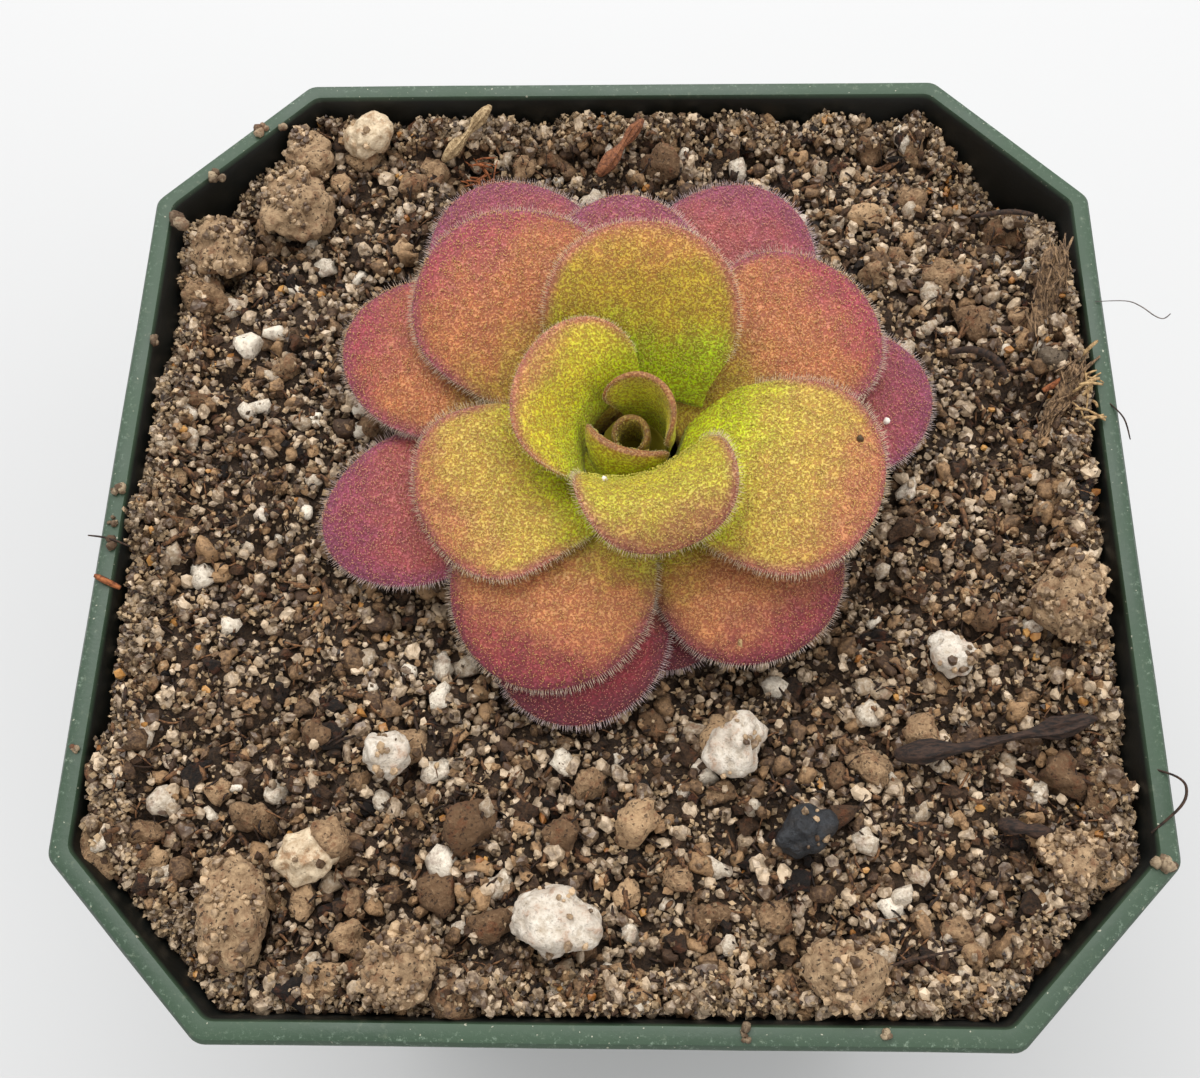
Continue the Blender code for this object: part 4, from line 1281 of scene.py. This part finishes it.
def fringe_hairs(leaf, draw):
    """Roots and tips of the hairs round the margin, and how far along the blade they stand."""
    walk = np.linspace(0.3, 1.0, 160)
    tip = leaf.widest + leaf.reach * np.sin(np.linspace(0, math.pi / 2, 200))
    way = np.concatenate([walk[walk < leaf.widest], tip])
    roots, tips, alongs = [], [], []
    for sign in (-1.0, 1.0):
        line = leaf.skin(way, sign, 0)[0]
        far = np.concatenate([[0.0], np.cumsum(np.linalg.norm(np.diff(line, axis=0), axis=1))])
        for height, tilt in FRINGE_ROWS:
            count = int(far[-1] / FRINGE_PITCH)
            spots = (np.arange(count) + draw.uniform(0.3, 0.7, count)) * FRINGE_PITCH
            along = np.interp(spots, far, way)
            beyond = np.clip((along - leaf.widest) / leaf.reach, 0.0, 1.0)
            inner_along = np.where(beyond > 0, leaf.widest + leaf.reach * beyond * 0.93, along)
            inner_side = np.where(
                beyond > 0,
                0.93 * np.sqrt(np.clip(1 - beyond**2, 0, 1)) / np.sqrt(1 - (0.93 * beyond) ** 2),
                0.93,
            )
            root, normal = leaf.skin(along, sign, 0)
            inner = leaf.skin(inner_along, sign * inner_side, 0)[0]
            out = units(root - inner)
            lift = np.radians(tilt + draw.normal(0, 8, count))[:, None]
            sway = draw.normal(0, 0.09, (count, 3))
            aim = units(out * np.cos(lift) + normal * np.sin(lift) + sway)
            length = draw.uniform(0.3, 0.7, count)[:, None] * MM * leaf.fringe
            thick = leaf.thick * leaf.margin / 2
            root = root + normal * (height * thick) - out * (0.12 * MM + 0.1 * MM * abs(height))
            roots.append(root)
            tips.append(root + aim * (length + 0.12 * MM))
            alongs.append(along)
    return np.vstack(roots), np.vstack(tips), np.concatenate(alongs)


def gland_hairs(leaf, draw):
    """Roots, tips and places of the short glands over the upper skin."""
    area = leaf.length * leaf.width / MM**2 * 0.75
    count = int(area * GLANDS_PER_SQUARE_MM * 1.35)
    along = draw.uniform(0.18, leaf.end, count)
    across = draw.uniform(-0.98, 0.98, count)
    kept = draw.uniform(0, 1, count) < leaf.half_width(along) / (leaf.width / 2)
    along, across = along[kept], across[kept]
    root, normal = leaf.skin(along, across, 1)
    aim = units(normal + draw.normal(0, 0.16, root.shape))
    length = draw.uniform(0.1, 0.22, len(root))[:, None] * MM * (0.4 + 0.6 * leaf.fringe)
    return root - normal * 0.02 * MM, root + aim * length, along, across


def build_leaves():
    leaves = [Leaf(index) for index in range(len(LEAVES))]
    bodies = [leaf_body(leaf) for leaf in leaves]
    trees = [BVHTree.FromPolygons(verts.tolist(), faces) for verts, faces, marks in bodies]
    draw = np.random.default_rng(40)
    for leaf, (verts, faces, marks) in zip(leaves, bodies):
        others = [tree for number, tree in enumerate(trees) if number != leaf.index]
        root, tip, along = fringe_hairs(leaf, draw)
        face_root, face_tip, face_along, face_across = gland_hairs(leaf, draw)
        open_sky = []
        for start, end in zip(face_root.tolist(), face_tip.tolist()):
            way = (Vector(end) - Vector(start)).normalized()
            open_sky.append(not any(other.ray_cast(Vector(start), way, 1.1 * MM)[0] for other in others))
        open_sky = np.array(open_sky)
        face_edge = leaf.edge_distance(face_along, face_across)[open_sky] / MM
        all_faces = list(faces)
        all_verts = [verts]
        curl = draw.normal(0, 0.03 * MM, root.shape)
        head_radius = draw.uniform(0.032, 0.055, open_sky.sum())[:, None] * MM
        fringe = hair_cones(root, tip, FRINGE_RADIUS, curl, FRINGE_RINGS)
        glands = gland_heads(face_root[open_sky], face_tip[open_sky], head_radius)
        for (hair_verts, hair_faces, shares), roots, alongs, edges, least in (
            (fringe, root, along, np.zeros(len(root)), 0.5),
            (glands, face_root[open_sky], face_along[open_sky], face_edge, 0.2),
        ):
            each = len(hair_verts) // len(roots)
            start = sum(len(part) for part in all_verts)
            all_faces += (hair_faces + start).tolist()
            all_verts.append(hair_verts)
            marks["along"] = np.append(marks["along"], np.repeat(alongs, each))
            marks["edge"] = np.append(marks["edge"], np.repeat(edges, each))
            marks["hair"] = np.append(marks["hair"], least + (1.0 - least) * shares)
        name = "butterwort_leaf_%02d" % (leaf.index + 1)
        piece = add_piece(name, np.vstack(all_verts).tolist(), all_faces, leaf_skin(leaf.index))
        for label, values in marks.items():
            mark(piece.data, label, values.astype(np.float32))
        slot = "leaf_young"
        if leaf.index < OLD_LEAVES:
            slot = "leaf_old"
        elif leaf.index < OLD_LEAVES + MIDDLE_LEAVES:
            slot = "leaf_middle"
        finish_piece(piece, slot, "leaf_%02d" % (leaf.index + 1))


build_leaves()

# A few things lie on the leaves: two crumbs of perlite, a drop of the glands' gum, and a dark dried scrap.
# They are held by the sticky hairs. Each: place from above and radius, in millimetres.
STUCK_ON_LEAVES = {
    "crumbs_on_leaves": (
        [(19.2, 4.2, 0.32), (20.4, 6.1, 0.28), (-0.4, -1.8, 0.22)], (196, 178, 158), (246, 238, 226),
    ),
    "scrap_on_leaf": ([(17.6, 2.5, 0.27)], (70, 52, 24), (118, 90, 44)),
}


def build_bits_on_leaves():
    draw = np.random.default_rng(64)
    shapes, faces = grain_shapes(2, 0.36, 4, 91.0)
    for name, (spots, dark, light) in STUCK_ON_LEAVES.items():
        grains = []
        for x, y, radius in spots:
            hit = leaf_cover.ray_cast(Vector((x * MM, y * MM, rim_top + 20.0 * MM)), Vector((0, 0, -1)))[0]
            place = (x * MM, y * MM, hit.z + 0.5 * radius * MM)
            grains.append((*place, radius * MM, radius * MM, 0.8 * radius * MM))
        bits = mineral(name + "_skin", dark, light, rust_stain, 0.2, 0.6, 2.4, 0.1)
        finish_piece(grain_mesh(name, grains, shapes, faces, bits, draw, True), "soil_grit")


build_bits_on_leaves()

# The stage is a plain pale table under a broad soft lamp from behind and above, in a dim white room. The
# camera stands close over the pot, as the photograph was taken. Its values are a program's least-squares fit
# to the rim's eight corners, picked in the photograph, and rounded.
camera_elevation = math.radians(69.1)
camera_heading = math.radians(3.57)
camera_roll = math.radians(-3.23)
camera_distance = 93.0 * MM
camera_target = Vector((1.2 * MM, -3.4 * MM, rim_top))
camera_focal_pixels = 1275.0
frame_width = 1200.0
middle_pixel = 630.0


def build_stage():
    paint, tree, shader = bare_material("table_paint", 0.7)
    feed(tree, shader.inputs["Base Color"], (0.55, 0.55, 0.55, 1.0))
    corners = [(-3.0, -3.0, 0.0), (3.0, -3.0, 0.0), (3.0, 3.0, 0.0), (-3.0, 3.0, 0.0)]
    table = add_piece("table_top", corners, [(0, 1, 2, 3)], paint)

    back = Vector((
        math.sin(camera_heading) * math.cos(camera_elevation),
        -math.cos(camera_heading) * math.cos(camera_elevation),
        math.sin(camera_elevation),
    ))
    side = Vector((0, 0, 1)).cross(back).normalized()
    up = back.cross(side)
    right = side * math.cos(camera_roll) + up * math.sin(camera_roll)
    above = up * math.cos(camera_roll) - side * math.sin(camera_roll)
    lens = bpy.data.cameras.new("camera")
    lens.sensor_fit = "HORIZONTAL"
    lens.sensor_width = 36.0
    lens.lens = camera_focal_pixels * lens.sensor_width / frame_width
    lens.shift_x = (frame_width / 2 - middle_pixel) / frame_width
    lens.clip_start = 0.005
    camera = add_object("camera", lens)
    turn = Matrix((right, above, back)).transposed().to_4x4()
    camera.matrix_world = Matrix.Translation(camera_target + back * camera_distance) @ turn
    bpy.context.scene.camera = camera

    for name, place, size, power in (
        ("window_lamp", (-0.04, 0.3, 0.55), 0.7, 4.0),
        ("fill_lamp", (0.45, -0.25, 0.55), 0.6, 1.3),
    ):
        light = bpy.data.lights.new(name, "AREA")
        light.shape = "DISK"
        light.size = size
        light.energy = power
        lamp = add_object(name, light)
        lamp.location = place
        aim = Vector(place) - Vector((0.0, 0.0, rim_top))
        lamp.rotation_euler = aim.to_track_quat("Z", "Y").to_euler()

    world = bpy.data.worlds.new("white_room")
    world.use_nodes = True
    world.node_tree.nodes["Background"].inputs["Color"].default_value = (0.975, 0.98, 0.985, 1.0)
    world.node_tree.nodes["Background"].inputs["Strength"].default_value = 0.8
    bpy.context.scene.world = world
    bpy.context.scene.view_settings.view_transform = "Standard"


build_stage()
